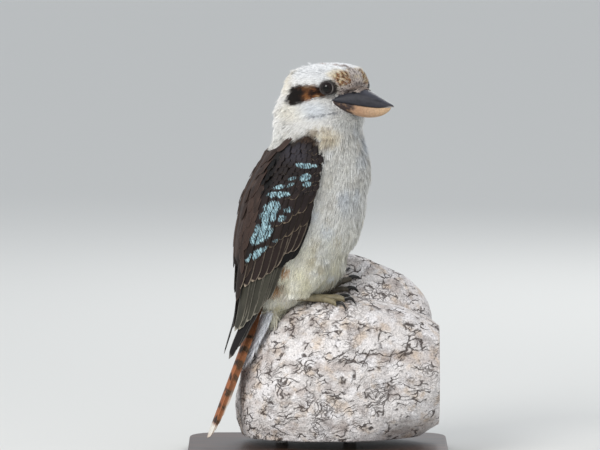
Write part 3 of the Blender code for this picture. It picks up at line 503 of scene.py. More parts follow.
# %% The head's colours
def head_paint(points):
    """Colours of the head and throat."""
    place = to_head(points)
    f, s, u = place[..., 0], place[..., 1], place[..., 2]
    a = np.abs(s)
    mirrored = np.stack((f, a, u), -1)
    wave = noise(mirrored, 3.2, 3) * 1.2
    streak = noise(mirrored, (8.0, 1.3, 1.3), 7)
    crease = np.abs(u + 27.6 - 0.22 * (f - 10.0) + wave * 0.3)
    crown = band(f, -14.0, 26.0, 5.0) * (1.0 - ramp(a, 1.5, 5.0)) * ramp(u, 14.0, 18.0) * 0.8
    cream = ramp(f, 14.0, 24.0) * band(a, 9.0, 24.0, 2.0) * band(u, 8.0, 19.0, 3.0)
    colour = lay(
        plain(points, "#eceae6"),
        "#f4f6f8", ramp(u, 0.0, 12.0) * 0.8,
        "#ece0c6", spot(mirrored, (-34.0, 14.0, 2.0), (14.0, 20.0, 12.0), 0.7) * 0.6,
        "#dbe2ea", spot(mirrored, (8.0, 30.0, -22.0), (18.0, 16.0, 8.0), 0.6) * 0.7,
        "#ebe3cc", spot(mirrored, (-16.0, 30.0, -26.0), (18.0, 16.0, 9.0), 0.7) * 0.5,
        # the throat's faint grey-green tint, made lighter as painted light where the head and bill shade it
        "#eceeea", spot(mirrored, (34.0, 0.0, -36.0), (18.0, 20.0, 13.0), 0.6) * 0.6,
        # painted shadow: a grey line in the fold under the chin
        "#6d7079", (1.0 - ramp(crease, 0.2, 1.6)) * band(f, 6.0, 31.0, 6.0) * 0.8,
        "#7d4a2e", crown * ramp(streak, -0.1, 0.3) * 0.85,
        "#2c1c15", crown * ramp(streak, 0.3, 0.6) * 0.9,
        "#ead3a2", cream * 0.55,
    )
    speckle, dots = noise(mirrored, 2.6, 11), noise(mirrored, 1.25, 13)
    front = ramp(f + 0.5 * np.clip(8.0 - a, 0.0, 8.0), 27.0, 31.0) * ramp(u, -9.0, -5.0)
    stripe = np.sin((a + 0.5 * u + wave * 0.3) * 2.0 * np.pi / 3.4)
    brow = ramp(f, 24.5, 28.5) * band(a, 8.5, 21.5, 1.6) * band(u + 0.25 * (a - 14.0), 4.5, 16.5, 1.6)
    lore = band(f, 26.0, 42.0, 2.0) * band(u, -9.0, 0.5, 1.5) * ramp(a, 8.0, 12.0)
    colour = lay(
        colour,
        "#e0d2c9", front * 0.85,
        "#ecdcb4", front * ramp(speckle, 0.0, 0.5) * ramp(u, 8.0, 16.0) * 0.7,
        "#4a3833", front * ramp(dots, 0.14, 0.44) * 0.85,
        "#a5682f", brow * ramp(stripe, -0.5, 0.1) * 0.9,
        "#2b1a10", brow * ramp(stripe, 0.6, 0.9) * 0.85,
        "#f0dcae", brow * ramp(-stripe, 0.3, 0.8) * 0.9,
        "#55474a", lore * ramp(noise(mirrored, (6.0, 6.0, 1.1), 17), 0.05, 0.4) * 0.75,
    )
    top, foot = np.interp(f, *EAR_TOP) + wave * 0.6, np.interp(f, *EAR_FOOT) + wave * 0.8
    rear_edge = -26.5 + np.clip(0.5 * (u + 13.0), 0.0, 8.0) + 2.4 * wave
    ear = band(u, foot, top, 1.5) * band(f, rear_edge, 20.5, 2.2) * ramp(a, 12.0, 17.0)
    rear = 1.0 - ramp(f + wave * 2.5, -4.0, 4.0)
    ahead = ear * (1.0 - rear)
    dark = np.maximum(ramp(-streak, 0.1, 0.4), ramp(u - top, -2.6, -1.4))
    near = np.linalg.norm((mirrored - EYE_PLACE) / np.array((1.14, 1.14, 0.88)), axis=-1)
    under = band(f, 15.0, 27.0, 1.5) * band(u + 0.12 * (f - 20.0), -9.4, -6.0, 0.8) * ramp(a, 14.0, 18.0)
    return lay(
        colour,
        "#3b281b", ear,
        "#15100d", ear * rear * 0.98,
        "#6a4328", ahead * 0.95,
        "#a0683a", ahead * ramp(streak, 0.0, 0.35) * 0.9,
        "#22150e", ahead * dark * 0.92,
        "#d8bd95", ahead * ramp(streak, 0.55, 0.75) * 0.7,
        "#5c3d2a", ear * rear * ramp(streak, 0.35, 0.6) * 0.45,
        "#1f1714", (1.0 - ramp(near, 7.8, 9.6)) * 0.9,
        # painted highlight: a pale crescent on the feathers just in front of the eye
        "#cfc4b8", band(near, 8.2, 10.2, 0.5) * ramp(f, 27.0, 30.0) * 0.8,
        "#4a2f20", under * (0.6 + 0.3 * wave),
    )


# %% The body's colours
def coat_paint(points):
    """Colours of the whole body at places in the bird's frame."""
    x, y, z = points[..., 0], points[..., 1], points[..., 2]
    patch = rough(points, 9.0, 21)
    bars = noise(points, (3.2, 3.2, 11.0), 31)
    straw = ramp(noise(points, (6.0, 6.0, 14.0), 35), 0.25, 0.7)
    breast = lay(
        plain(points, "#ecebe6"),
        "#a39a8c", ramp(bars, 0.1, 0.6) * (0.35 + 0.3 * patch),
        "#faf9f5", ramp(patch, 0.1, 0.8) * 0.7,
        "#d3dae3", ramp(noise(points, 16.0, 33), 0.0, 0.6) * 0.6 * ramp(x, -25.0, -8.0),
        "#ded9bd", (1.0 - ramp(z, 20.0, 80.0)) * (0.5 + 0.4 * patch),
        "#bdb08c", straw * (1.0 - ramp(z, 60.0, 150.0)) * 0.5,
    )
    head = head_paint(points)
    aside = np.stack((x, np.abs(y), z), -1)
    hair = noise(points, (2.2, 2.2, 6.0), 43)
    shoulder = spot(aside, (-3.0, 34.0, 152.0), (15.0, 15.0, 11.0), 0.5)
    colour = lay(
        head + (breast - head) * (1.0 - ramp(z, 150.0, 168.0))[..., None],
        "#e2d0a8", shoulder * ramp(hair, -0.6, -0.1) * 0.6,
        "#7a6350", shoulder * ramp(hair, 0.2, 0.5) * 0.6,
    )
    edge = np.interp(x, *MANTLE_EDGE) + patch * 1.5
    limit = np.interp(z, *WING_FRONT) - np.interp(z, (138.0, 150.0), (9.0, 0.0))
    mantle = (1.0 - ramp(z, edge - 1.0, edge + 1.6)) * (1.0 - ramp(x, limit - 4.0, limit + 2.0))
    mantle = mantle * ramp(z, 0.0, 18.0)
    brown = lay(plain(points, "#45362f"), "#231b18", ramp(noise(points, 5.0, 51), -0.3, 0.5) * 0.7)
    # painted shadow: a black line on the coat just in front of the brown feathers between back and wing
    gap = band(x - np.interp(z, *BROWN_EDGE), 0.0, 5.0, 1.2) * ramp(z, 104.0, 116.0) * mantle
    rump = band(z, 2.0, 34.0, 5.0) * band(x, -62.0, -37.0, 3.0)
    return lay(
        colour + (brown - colour) * mantle[..., None],
        "#0b0808", gap * 0.92,
        "#a8743c", rump * ramp(noise(points, (6.0, 6.0, 4.0), 61), -0.1, 0.3) * 0.85,
        "#4a3324", rump * ramp(noise(points, (7.0, 7.0, 3.0), 67), 0.3, 0.55) * 0.7,
    )


print("colour behind the eye", coat_paint(from_head(np.array([[-15.0, -30.0, -8.0]]))).round(3))

# %% [markdown]
# ## The skin
# The skin lies inside the bird's outline by the depth of the coat: a millimetre on the face, three on the
# body. It is one mesh, with the thighs and the feathers under the tail sunk in it, so no seam shows.

# %% Skin
feather_skin, tree, shader, fine = painted("skin under the feathers", Roughness=0.8)
bumps(tree, shader, fine, 0.3, 0.0006)


def coat_depth(points):
    """How deep the skin lies under the tips of the coat."""
    x, y, z = points[..., 0], np.abs(points[..., 1]), points[..., 2]
    place = to_head(points)
    face = ramp(place[..., 0], 18.0, 34.0) * ramp(place[..., 2], -30.0, -20.0)
    edge = np.interp(z, *WING_FRONT)
    under_wing = (1.0 - ramp(x, edge - 5.0, edge + 2.0)) * ramp(y, 14.0, 22.0) * band(z, 0.0, 138.0, 8.0)
    return 3.2 + 2.6 * under_wing - 1.6 * ramp(z, 150.0, 185.0) - 0.8 * face


def skin_part(surface, low, high, rings, sides, depth):
    """A closed grid over a surface, sunk by a depth, but by no more than 0.6 of the way to its middle."""
    s, angle = grid(low + (high - low) * np.linspace(0.0, 1.0, rings), circle(sides))
    place, normal, _, _ = on_surface(surface, s, angle, low, high)
    sunk = depth(place) if callable(depth) else depth
    sunk = np.minimum(sunk, np.linalg.norm(place - place.mean(axis=1, keepdims=True), axis=-1) * 0.6)
    return place - normal * sunk[..., None]


BODY_RANGE, THIGH_RANGE, UNDERTAIL_RANGE = (0.0, BODY_LENGTH), (-0.06, 1.0), (-69.0, -4.0)
trunk = skin_part(body, *BODY_RANGE, 240, 168, coat_depth)
skin_parts = [(trunk, coat_paint(trunk) * 0.85)]
for word in LEGS:
    leg = skin_part(thigh(word), *THIGH_RANGE, 40, 40, 1.6)
    skin_parts.append((leg, plain(leg, "#dcd8ca") * 0.85))
vent = skin_part(undertail, *UNDERTAIL_RANGE, 50, 40, 1.0)
skin_parts.append((vent, plain(vent, "#eceef4") * 0.95))
add_parts("skin", skin_parts, feather_skin,
          ("head", "neck", "torso", "leg_left", "leg_right", "undertail_coverts"))

# %% [markdown]
# ## The coat
# Body feathers of a kookaburra are soft and hair-like at their ends. Each is a tuft of narrow tapering
# strips that fan from one root, follow the curve of the skin and rise a little, so that tufts overlap like
# tiles. They radiate from the bill over the head, then run down the body.

# %% Tuft tools
RANDOM = np.random.default_rng(7)
coat_finish = painted(
    "soft feathers", Roughness=0.75, Sheen_Weight=0.08, Sheen_Roughness=0.4, Specular_IOR_Level=0.25
)[0]


def scatter(surface, low, high, step, gap):
    """Roots in rows a step apart, evenly spaced by a gap round each ring and shaken a little."""
    rows, angles = [], []
    around = np.linspace(0.0, 2.0 * np.pi, 97)
    start, end = surface(np.array([low, high]), np.zeros(2))
    spacing = step * (high - low) / np.linalg.norm(start - end) if high - low < 5.0 else step
    for row in np.arange(low + spacing, high, spacing):
        ring = surface(np.full(97, row), around)
        length = np.concatenate(([0.0], np.cumsum(np.linalg.norm(np.diff(ring, axis=0), axis=1))))
        count = max(4, int(round(length[-1] / gap)))
        shaken = np.arange(count) + RANDOM.uniform(-0.45, 0.45, count) + RANDOM.uniform()
        wanted = shaken / count * length[-1]
        angles.append(np.interp(wanted % length[-1], length, around))
        rows.append(row + RANDOM.uniform(-0.5, 0.5, count) * spacing)
    return np.clip(np.concatenate(rows), low, high), np.concatenate(angles)


def flow(points, normals):
    """The lie of the feathers: away from the bill on the head, down and slightly back on the body."""
    bill = from_head((43.0, 0.0, -11.0))
    head = ramp(points[..., 2], 152.0, 186.0)[..., None]
    down = np.array((0.0, 0.0, -1.0))
    back = np.zeros_like(points)
    back[..., 0] = -0.35 * ramp(np.abs(points[..., 1]), 8.0, 34.0)
    way = head * (unit(points - bill) + 0.4 * down) + (1.0 - head) * (down + back)
    way = way + 0.12 * np.stack([noise(points, 7.0, 71 + k) for k in range(3)], -1)
    return flattened(way, normals)


# %% [markdown]
# All tufts of a coat are worked out at once, as whole arrays: tuft, strip, station along the strip and
# axis. That is far quicker than hair curves turned to meshes, and each strip stays a plain flat face.

# %% Tufts
def add_coat(name, roots, normals, ways, bends, patch, length, half, lift, depth, base, tip,
             fingers=7, rows=4):
    """Tufts of tapering strips as meshes of under 190,000 triangles each.

    A strip's middle follows an arc of the surface's own bend from the root, rises from the skin by its
    share of depth and lift, and fans out across the tuft. Its width falls to a point at the tip.
    """
    count = len(roots)
    bend, lift, depth = (np.broadcast_to(one, count)[:, None, None] for one in (bends, lift, depth))
    across = np.linspace(-1.0, 1.0, fingers) + RANDOM.uniform(-0.16, 0.16, (count, fingers))
    reach = length[:, None] * (1.0 - 0.2 * across**2) * RANDOM.uniform(0.8, 1.1, (count, fingers))
    t = np.linspace(0.0, 1.0, rows)
    walked = reach[..., None] * t
    turn = bend * walked
    ahead = walked * np.sinc(turn / np.pi)
    sink = walked * np.sinc(turn / (2.0 * np.pi)) * np.sin(turn / 2.0)
    side = np.cross(normals, ways)
    roots, normals, ways, side = (one[:, None, None] for one in (roots, normals, ways, side))
    up = normals * np.cos(turn)[..., None] + ways * np.sin(turn)[..., None]
    rise = -depth + (depth + lift) * t**0.8
    rise = rise + RANDOM.uniform(-0.3, 0.55, (count, fingers))[..., None] * t
    rise = rise + RANDOM.exponential(0.25, (count, 1, 1)) * t
    wide = across[..., None] * (0.35 + 0.65 * t) + RANDOM.normal(0, 0.1, (count, fingers, 1)) * t * t
    wide = half[:, None, None] * wide
    middle = roots + ways * ahead[..., None] - normals * sink[..., None] + up * rise[..., None]
    middle = middle + side * wide[..., None]
    strip = (half[:, None] * 1.2 / fingers)[..., None] * (1.0 - 0.75 * t[:-1])
    strip = strip * np.minimum(1.0, 0.55 + 1.5 * t[:-1])
    edge = side + up[:, :, :-1] * RANDOM.uniform(-0.5, 0.5, (count, fingers, 1, 1))
    left, right = middle[:, :, :-1] - edge * strip[..., None], middle[:, :, :-1] + edge * strip[..., None]
    pairs = np.stack((left, right), 3).reshape(count, fingers, -1, 3)
    points = np.concatenate((pairs, middle[:, :, -1:]), 2)
    share = np.append(np.repeat(t[:-1], 2), 1.0)
    shade = RANDOM.normal(1.0, 0.07, (count, 1, 1)) * RANDOM.normal(1.0, 0.12, (count, fingers, 1))
    # painted shade: each strip darker towards its root, where the tufts over it shade it
    shade = shade * (0.55 + 0.45 * ramp(share, 0.0, 0.75))
    colours = base[:, None, None] + (tip - base)[:, None, None] * ramp(share, 0.45, 1.0)[:, None]
    colours = np.clip(colours * shade[..., None], 0.0, 1.0)
    aside = across[..., None] + np.append(np.tile((-0.1, 0.1), rows - 1), 0.0)
    spots = np.stack(np.broadcast_arrays(
        patch[:, None, None, 0] + 0.0015 * aside, patch[:, None, None, 1] + 0.003 * (share - 0.5)), -1)
    size = len(share)
    quads = np.arange(rows - 2)[:, None] * 2 + np.array((0, 1, 3, 2))
    last = np.array([[size - 3, size - 2, size - 1]])
    limit = int(190000 / (fingers * (2 * (rows - 2) + 1)))
    pieces = max(1, math.ceil(count / limit))
    for number, chosen in enumerate(np.array_split(np.arange(count), pieces), 1):
        first = (np.arange(len(chosen) * fingers) * size)[:, None, None]
        add_mesh(
            name if pieces == 1 else f"{name}_{number}", to_world(points[chosen].reshape(-1, 3)),
            [(quads + first).reshape(-1, 4), (last + first).reshape(-1, 3)], coat_finish,
            {"paint": colours[chosen].reshape(-1, 3)}, {"OFBake": spots[chosen].reshape(-1, 2)})


def rooted(surface, low, high, step, gap, keep=None):
    """Roots on a surface with their normals, ways, bends and map places, those kept that pass a test."""
    s, angle = scatter(surface, low, high, step, gap)
    found = (s, angle, *on_surface(surface, s, angle, low, high))
    if keep is not None:
        chosen = keep(found[2])
        found = [one[chosen] for one in found]
    s, angle, place, normal, rise, round_it = found
    way = flow(place, normal)
    bend = bend_along(surface, s, angle, way, low, high, rise, round_it)
    patch = np.stack((angle / (2.0 * np.pi), (s - low) / (high - low)), -1) * 0.98 + 0.01
    return place, normal, way, bend, patch


def tip_paint(place, way, length):
    """The body's colours near the tips of tufts."""
    return coat_paint(place + way * length[:, None] * 0.88)


# %% Bill tables and places without tufts
# forward, ridge, mouth line and half width
UPPER_BILL = np.array((
    (17.0, -5.0, -9.0, 21.5),
    (25.0, -3.5, -10.8, 19.6),
    (33.0, -0.8, -12.2, 16.8),
    (42.0, 1.2, -13.4, 13.2),
    (52.0, -0.5, -14.6, 10.2),
    (62.0, -3.9, -15.5, 7.6),
    (72.0, -7.8, -15.8, 5.2),
    (80.0, -10.8, -15.2, 3.2),
    (85.5, -12.6, -14.7, 1.6),
    (88.0, -13.6, -14.9, 0.6),
))
# forward, mouth line, keel and half width
LOWER_BILL = np.array((
    (17.0, -9.4, -16.0, 20.0),
    (25.0, -11.2, -19.5, 18.2),
    (33.0, -12.6, -23.0, 15.8),
    (42.0, -13.8, -25.3, 12.2),
    (52.0, -15.0, -26.2, 9.3),
    (62.0, -15.9, -25.6, 6.8),
    (72.0, -16.2, -23.4, 4.6),
    (79.0, -15.6, -20.2, 2.6),
    (84.0, -15.2, -16.8, 0.9),
))


def on_head(points):
    """Where head tufts grow: above the neck, off the bill and clear of the eyes."""
    place = to_head(points)
    ridge, mouth, half = smooth(UPPER_BILL, place[..., 0])
    keel = smooth(LOWER_BILL, place[..., 0])[1]
    tall = np.where(place[..., 2] > mouth, ridge - mouth, mouth - keel)
    bill = (place[..., 0] > 24.0) & (np.hypot(place[..., 1] / half, (place[..., 2] - mouth) / tall) < 0.98)
    clear = np.ones(points.shape[:-1], bool)
    for side in (-1, 1):
        away = points - eye_centre(side)
        look = head_way(eye_look(side))
        flat = away - (away @ look)[..., None] * look
        clear &= (np.linalg.norm(flat, axis=-1) > 6.9) | (away @ look < 0)
    return clear & ~bill


def in_front(points):
    """Where body tufts grow: not under the folded wings."""
    x, y, z = points[..., 0], np.abs(points[..., 1]), points[..., 2]
    under = (z > 15.0) & (z < np.interp(x, *MANTLE_EDGE) - 5.0)
    under &= (z < 112.0) | (x > np.interp(z, *BROWN_EDGE) + 2.0)
    behind = x < np.interp(z, *WING_FRONT) - np.where(z < 114.0, 1.5, 9.0)
    return ~(under & behind & ((y > 15.0) | (x < -25.0) & (z > 35.0)))


# %% Head coat
def above_neck(points):
    """Where the head's tufts grow."""
    return (points[..., 2] > 160.0) & on_head(points)


place, normal, way, bend, patch = rooted(body, *BODY_RANGE, 1.45, 1.3, above_neck)
where = to_head(place)
near_bill = ramp(where[:, 0], 20.0, 34.0)
eye_gap = np.minimum(*(np.linalg.norm(place - eye_centre(side), axis=-1) for side in (-1, 1)))
near_eye = 1.0 - ramp(eye_gap, 8.0, 14.0)
length = 6.8 + 3.0 * (1.0 - ramp(where[:, 2], -38.0, -20.0)) + 3.0 * ramp(-where[:, 0], 10.0, 32.0)
length = length * (1.0 - 0.55 * np.maximum(near_bill, near_eye)) * RANDOM.uniform(0.85, 1.2, len(place))
colour = tip_paint(place, way, length)
# painted highlight: pale tufts whiter towards their tips
tip = lay(colour, "#ffffff", 0.25 * ramp(colour.sum(-1), 1.0, 2.0))
loose = (RANDOM.exponential(0.8, len(place)) - 1.3) * ramp(-where[:, 0], -8.0, 22.0)
add_coat("head_coat", place, normal, way, bend, patch, length, 0.24 * length, 0.1 + 0.05 * length + loose,
         coat_depth(place), colour, tip, fingers=6)


def bill_top(f, angle):
    """The upper bill's outer surface: a place along it, and an angle over its arch from the right side."""
    ridge, mouth, half = smooth(UPPER_BILL, f)
    height = mouth + np.sin(angle) ** 0.85 * (ridge - mouth)
    return from_head(np.stack((f, -np.cos(angle) * half, height), -1))


# how low the face's feathers reach over the root of the bill, by places forward
BILL_FEATHERS = (
    (24.0, 30.0, 34.0, 38.0, 43.0, 46.0, 49.5, 51.5, 53.0),
    (-8.0, -6.8, -5.8, -4.4, -2.4, -2.6, -3.0, -0.6, 6.0),
)
f, angle = RANDOM.uniform(22.0, 50.0, 3400), RANDOM.uniform(0.08, np.pi - 0.08, 3400)
place = bill_top(f, angle)
level = to_head(place)[:, 2]
chosen = (level > np.interp(f + 2.2, *BILL_FEATHERS) + 1.0) & (f + 0.35 * np.abs(to_head(place)[:, 1]) < 51.5)
f, angle, place = f[chosen], angle[chosen], place[chosen]
over = bill_top(f, angle + 0.01) - bill_top(f, angle - 0.01)
normal = unit(np.cross(over, bill_top(f + 0.1, angle) - bill_top(f - 0.1, angle)))
middle = from_head(np.stack((f, np.zeros_like(f), np.full_like(f, -13.0)), -1))
normal = normal * np.sign(((place - middle) * normal).sum(-1, keepdims=True))
way = unit(head_way((1.0, 0.0, -0.3)) + 0.25 * RANDOM.normal(size=place.shape))
length = RANDOM.uniform(2.6, 4.2, len(place))
colour = head_paint(place + normal)
patch = np.stack((f / 120.0, angle / np.pi), -1) * 0.98 + 0.01
add_coat("bill_root_coat", place, normal, flattened(way, normal), 0.0, patch, length, 0.3 * length, 0.55, 0.4,
         colour, colour, fingers=5)

# %% Body coat
def below_neck(points):
    """Where the body's tufts grow."""
    return (points[..., 2] < 166.0) & in_front(points)


place, normal, way, bend, patch = rooted(body, *BODY_RANGE, 2.7, 2.3, below_neck)
x, y, z = place[:, 0], np.abs(place[:, 1]), place[:, 2]
length = 9.5 + 3.5 * (1.0 - ramp(z, 120.0, 165.0)) + 6.5 * (1.0 - ramp(z, 20.0, 120.0))
length = (length + 6.0 * (1.0 - ramp(z, 0.0, 14.0))) * RANDOM.uniform(0.85, 1.2, len(place))
edge = np.interp(z, *WING_FRONT)
over_wing = band(x, edge - 8.0, edge + 9.0, 4.0) * ramp(y, 18.0, 30.0) * ramp(z, 112.0, 128.0)
colour = tip_paint(place, way, length)
pale = lay(colour, "#8d7866", 0.35 * (colour.sum(-1) < 0.4))
add_coat("body_coat", place, normal, way, bend, patch, length, 0.23 * length, 0.5 + 3.4 * over_wing,
         coat_depth(place), colour, pale, fingers=9, rows=5)

# %% Thigh and undertail coats
for word in LEGS:
    place, normal, way, bend, patch = rooted(thigh(word), *THIGH_RANGE, 2.4, 2.1)
    heel_level = LEGS[word][2][2]
    length = RANDOM.uniform(9.0, 13.0, len(place))
    length = length * (0.55 + 0.45 * ramp(place[:, 2], heel_level - 2.0, heel_level + 14.0))
    colour = tip_paint(place, way, length)
    add_coat(f"thigh_coat_{word}", place, normal, way, bend, patch, length, 0.2 * length, 0.5, 1.6,
             colour, colour, rows=5)
place, normal, way, bend, patch = rooted(undertail, *UNDERTAIL_RANGE, 2.6, 1.9)
way = flattened(unit(TAIL_WAY + 0.05 * RANDOM.normal(size=place.shape)), normal)
length = RANDOM.uniform(11.0, 16.0, len(place))
length = length * (0.5 + 0.5 * ramp(69.0 - (place - TAIL_ROOT) @ TAIL_WAY, 2.0, 16.0))
colour = lay(plain(place, "#f3f5fa"), "#fbfaf8", ramp(noise(place, 9.0, 83), 0.0, 0.7) * 0.5)
add_coat("undertail_coat", place, normal, way, bend * 0.5, patch, length, 0.2 * length, 0.35, 1.0,
         colour, colour)

# %% [markdown]
# ## Flight feathers and coverts
# The folded wings share one surface round the body. Each feather is a thin closed blade on it, with a round
# tip, a slight arch across and its own map of across and along, which the material uses for the pale
# fringe, the barbs and the shaft. Rows overlap from the shoulder down, each lower row deeper.

# %% Wing surface
WING_RINGS = np.array((
    (158.0, 1.0, 40.0, 41.0, 34.0, 2.1),
    (150.0, -1.0, 45.0, 44.0, 39.5, 2.1),
    (143.0, -4.0, 50.0, 46.0, 42.0, 2.1),
    (133.0, -6.0, 56.0, 49.0, 45.0, 2.2),
    (115.0, -9.0, 59.0, 56.0, 47.0, 2.2),
    (96.0, -14.0, 60.0, 59.5, 47.5, 2.2),
    (77.0, -19.0, 60.0, 58.5, 46.5, 2.2),
    (58.0, -26.0, 56.0, 54.5, 44.0, 2.2),
    (40.0, -34.0, 50.0, 47.5, 40.0, 2.2),
    (21.0, -43.0, 42.0, 39.5, 34.5, 2.2),
    (2.0, -52.0, 34.0, 31.5, 29.5, 2.2),
    (-17.0, -62.0, 26.0, 23.5, 25.0, 2.1),
    (-36.0, -73.0, 20.0, 18.0, 21.0, 2.0),
    (-56.0, -83.0, 16.0, 14.0, 18.0, 2.0),
))[::-1]


def wing(height, angle, side, depth):
    """The wings' shared surface: a height, an angle from the back to the breast, and a depth outward."""
    centre, front, back, half, square = smooth(WING_RINGS, height)
    along, across = power_circle(angle, square)
    x = centre - along * (np.where(along > 0, back, front) + depth)
    return np.stack((x, side * np.abs(across) * (half + depth), height), -1)


def wing_angle(height, x, y=None):
    """The angle at which the wings' surface has that place forward, or lies under a point."""
    centre, front, back, half, square = smooth(WING_RINGS, height)
    ratio = (centre - x) / np.where(centre > x, back, front)
    along = np.sign(ratio) * np.abs(ratio) ** (square / 2.0)
    if y is None:
        return np.arccos(np.clip(along, -0.999, 0.999))
    return np.arctan2(np.abs(y / half) ** (square / 2.0), along)


def vane_outline(t, root, shoulder, power):
    """A feather's width along it: from its root's share to full, then rounded off past the shoulder."""
    q = np.clip((t - shoulder) / (1.0 - shoulder), 0.0, 1.0)
    return (root + (1.0 - root) * ramp(t, 0.0, 0.4)) * np.sqrt(np.maximum(1.0 - q**power, 0.0004))


def blade_section(columns):
    """Places across a closed blade, over its top and back underneath, and which of them are below."""
    v = np.concatenate((np.linspace(-1.0, 1.0, columns), np.linspace(1.0, -1.0, columns)[1:-1]))
    return v, np.concatenate((np.zeros(columns), np.ones(columns - 2)))


def with_fourth(colour, fourth):
    """Colours with a fourth number beside them."""
    return np.concatenate((np.broadcast_to(colour, fourth.shape + (3,)), fourth[..., None]), -1)
def vanes(roots, tips, half, depth, tilt, side, stations=22, columns=9, root=0.5, shoulder=0.72,
          power=2.2, dip=3.4, arch=0.35, thick=0.35):
    """Feathers that lie on the wings' surface as closed blades: points, across from -1 to 1, and along.

    The middle line runs straight in height and angle from root to tip. Each place beside it is put on the
    surface again, then moved out by the depth, the shingle tilt and the arch, and in at the root.
    """
    t = np.linspace(0.0, 1.0, stations)
    height = roots[:, 1:] + (tips[:, 1:] - roots[:, 1:]) * t
    start, end = wing_angle(roots[:, 1], roots[:, 0]), wing_angle(tips[:, 1], tips[:, 0])
    angle = start[:, None] + (end - start)[:, None] * t
    middle = wing(height, angle, side, 0.0)
    ahead = np.gradient(middle, axis=1)
    rise = wing(height + 1.0, angle, side, 0.0) - wing(height - 1.0, angle, side, 0.0)
    around = wing(height, angle + 0.02, side, 0.0) - wing(height, angle - 0.02, side, 0.0)
    out = unit(np.cross(around, rise) * side)
    across = unit(np.cross(out, ahead))
    v, below = blade_section(columns)
    share = vane_outline(t, root, shoulder, power)[None, :, None]
    wide = half[:, None, None] * share * v
    place = middle[:, :, None] + across[:, :, None] * wide[..., None]
    level = place[..., 2]
    at = wing_angle(level, place[..., 0], place[..., 1])
    lift = depth[:, None, None] - dip * (1.0 - ramp(t, 0.0, 0.45))[None, :, None]
    lift = lift + tilt * side * v * share - arch * v * v * share - thick * below
    points = wing(level, at, side, lift)
    shape = points.shape[:-1]
    return points, np.broadcast_to(v, shape), np.broadcast_to(t[None, :, None], shape)


# %% [markdown]
# The feather material reads the blade's own map: a fringe of the second colour along the rim, barbs as
# fine slanting lines, the dark shaft, and black lines between the barbs where the feather is pale blue.

# %% Feather finish
def feather_finish(name, roughness, streaks):
    """Vane material. Paint holds the ground colour and how blue it is, fringe the rim's colour and share."""
    made, tree, shader = new_finish(name, Roughness=roughness, Specular_IOR_Level=0.22)
    paint = add(tree, "ShaderNodeAttribute", attribute_name="paint")
    rim = add(tree, "ShaderNodeAttribute", attribute_name="fringe")
    spread = add(tree, "ShaderNodeSeparateXYZ", {0: add(tree, "ShaderNodeUVMap", uv_map="vane").outputs[0]})
    across, along = spread.outputs[0], spread.outputs[1]
    place = object_place(tree)
    wander = noise_node(tree, place, 260.0)[0]
    off = calc(tree, "ABSOLUTE", across)
    ragged = calc(tree, "ADD", off, calc(tree, "MULTIPLY", wander, 0.14))
    rim_here = step_between(tree, ragged, 0.86, 0.99)
    rim_here = calc(tree, "MAXIMUM", rim_here, step_between(tree, along, 0.95, 0.99))
    rim_here = calc(tree, "MULTIPLY", rim_here, rim.outputs["Alpha"])
    ground = blend(tree, rim_here, paint.outputs["Color"], rim.outputs["Color"])
    barb = calc(tree, "SUBTRACT", calc(tree, "MULTIPLY", along, streaks), calc(tree, "MULTIPLY", off, 5.0))
    barb = calc(tree, "ADD", barb, calc(tree, "MULTIPLY", wander, 1.6))
    wave = calc(tree, "SINE", calc(tree, "MULTIPLY", barb, 6.2832))
    axes = add(tree, "ShaderNodeSeparateXYZ", {0: place}).outputs
    slant = calc(tree, "ADD", calc(tree, "MULTIPLY", axes[0], 0.94), calc(tree, "MULTIPLY", axes[2], 0.3))
    slant = calc(tree, "MULTIPLY", slant, 2.0 * math.pi / BARB_STEP)
    slant = calc(tree, "ADD", slant, calc(tree, "MULTIPLY", wander, 16.0))
    comb = calc(tree, "ADD", calc(tree, "MULTIPLY", calc(tree, "SINE", slant), 0.36), 0.66)
    blue = calc(tree, "MULTIPLY", paint.outputs["Alpha"], comb)
    blue = step_between(tree, blue, 0.14, 0.74, 0.0, 0.95)
    pale = blend(tree, step_between(tree, wander, 0.4, 0.62), rgba("#7f9fa9"), rgba("#aed2db"))
    ground = blend(tree, blue, ground, pale)
    soft = step_between(tree, wave, -1.0, 1.0, 0.86, 1.1)
    shaft = step_between(tree, off, 0.02, 0.07, 0.7, 1.0)
    shade = calc(tree, "MULTIPLY", soft, shaft)
    tree.links.new(blend(tree, 1.0, ground, shade, "MULTIPLY"), shader.inputs["Base Color"])
    bumps(tree, shader, wave, 0.25, 0.0002)
    return made


# metres from one black line to the next where the feathers are pale blue
BARB_STEP = 0.0024


wing_finish = feather_finish("wing feathers", 0.6, 22.0)
print("made the finish of the wing feathers")


# %% [markdown]
# The coverts of the folded wing are tipped with pale blue, which shows as slanting flecks. Each fleck is an
# ellipse that crosses feathers, so that the blue breaks up at their edges as it does on the bird.

# %% Blue marks and shade
# forward, up, half length, half width, slope in degrees and strength of each pale blue mark
BLUE = (
    (-20.4, 130.6, 9.6, 2.5, -4.0, 0.85), (-22.2, 119.8, 5.6, 3.3, 20.0, 0.95),
    (-20.4, 113.4, 3.9, 2.6, 0.0, 0.85), (-34.0, 118.8, 5.0, 1.6, 15.0, 0.6),
    (-45.9, 110.7, 5.4, 1.9, 12.0, 0.75), (-36.2, 112.5, 4.4, 1.8, 30.0, 0.55),
    (-46.8, 103.7, 11.0, 2.7, 4.0, 0.9), (-53.4, 87.6, 11.5, 7.0, 66.0, 1.0),
    (-60.9, 67.5, 13.0, 6.8, 52.0, 1.0), (-38.4, 89.5, 4.6, 2.8, 10.0, 0.75),
    (-43.5, 82.0, 4.0, 3.2, 30.0, 0.85), (-65.3, 47.7, 11.5, 3.2, 38.0, 0.95),
    (-48.1, 60.3, 3.8, 2.5, 10.0, 0.5), (-78.0, 41.6, 1.8, 2.0, 60.0, 0.5),
)
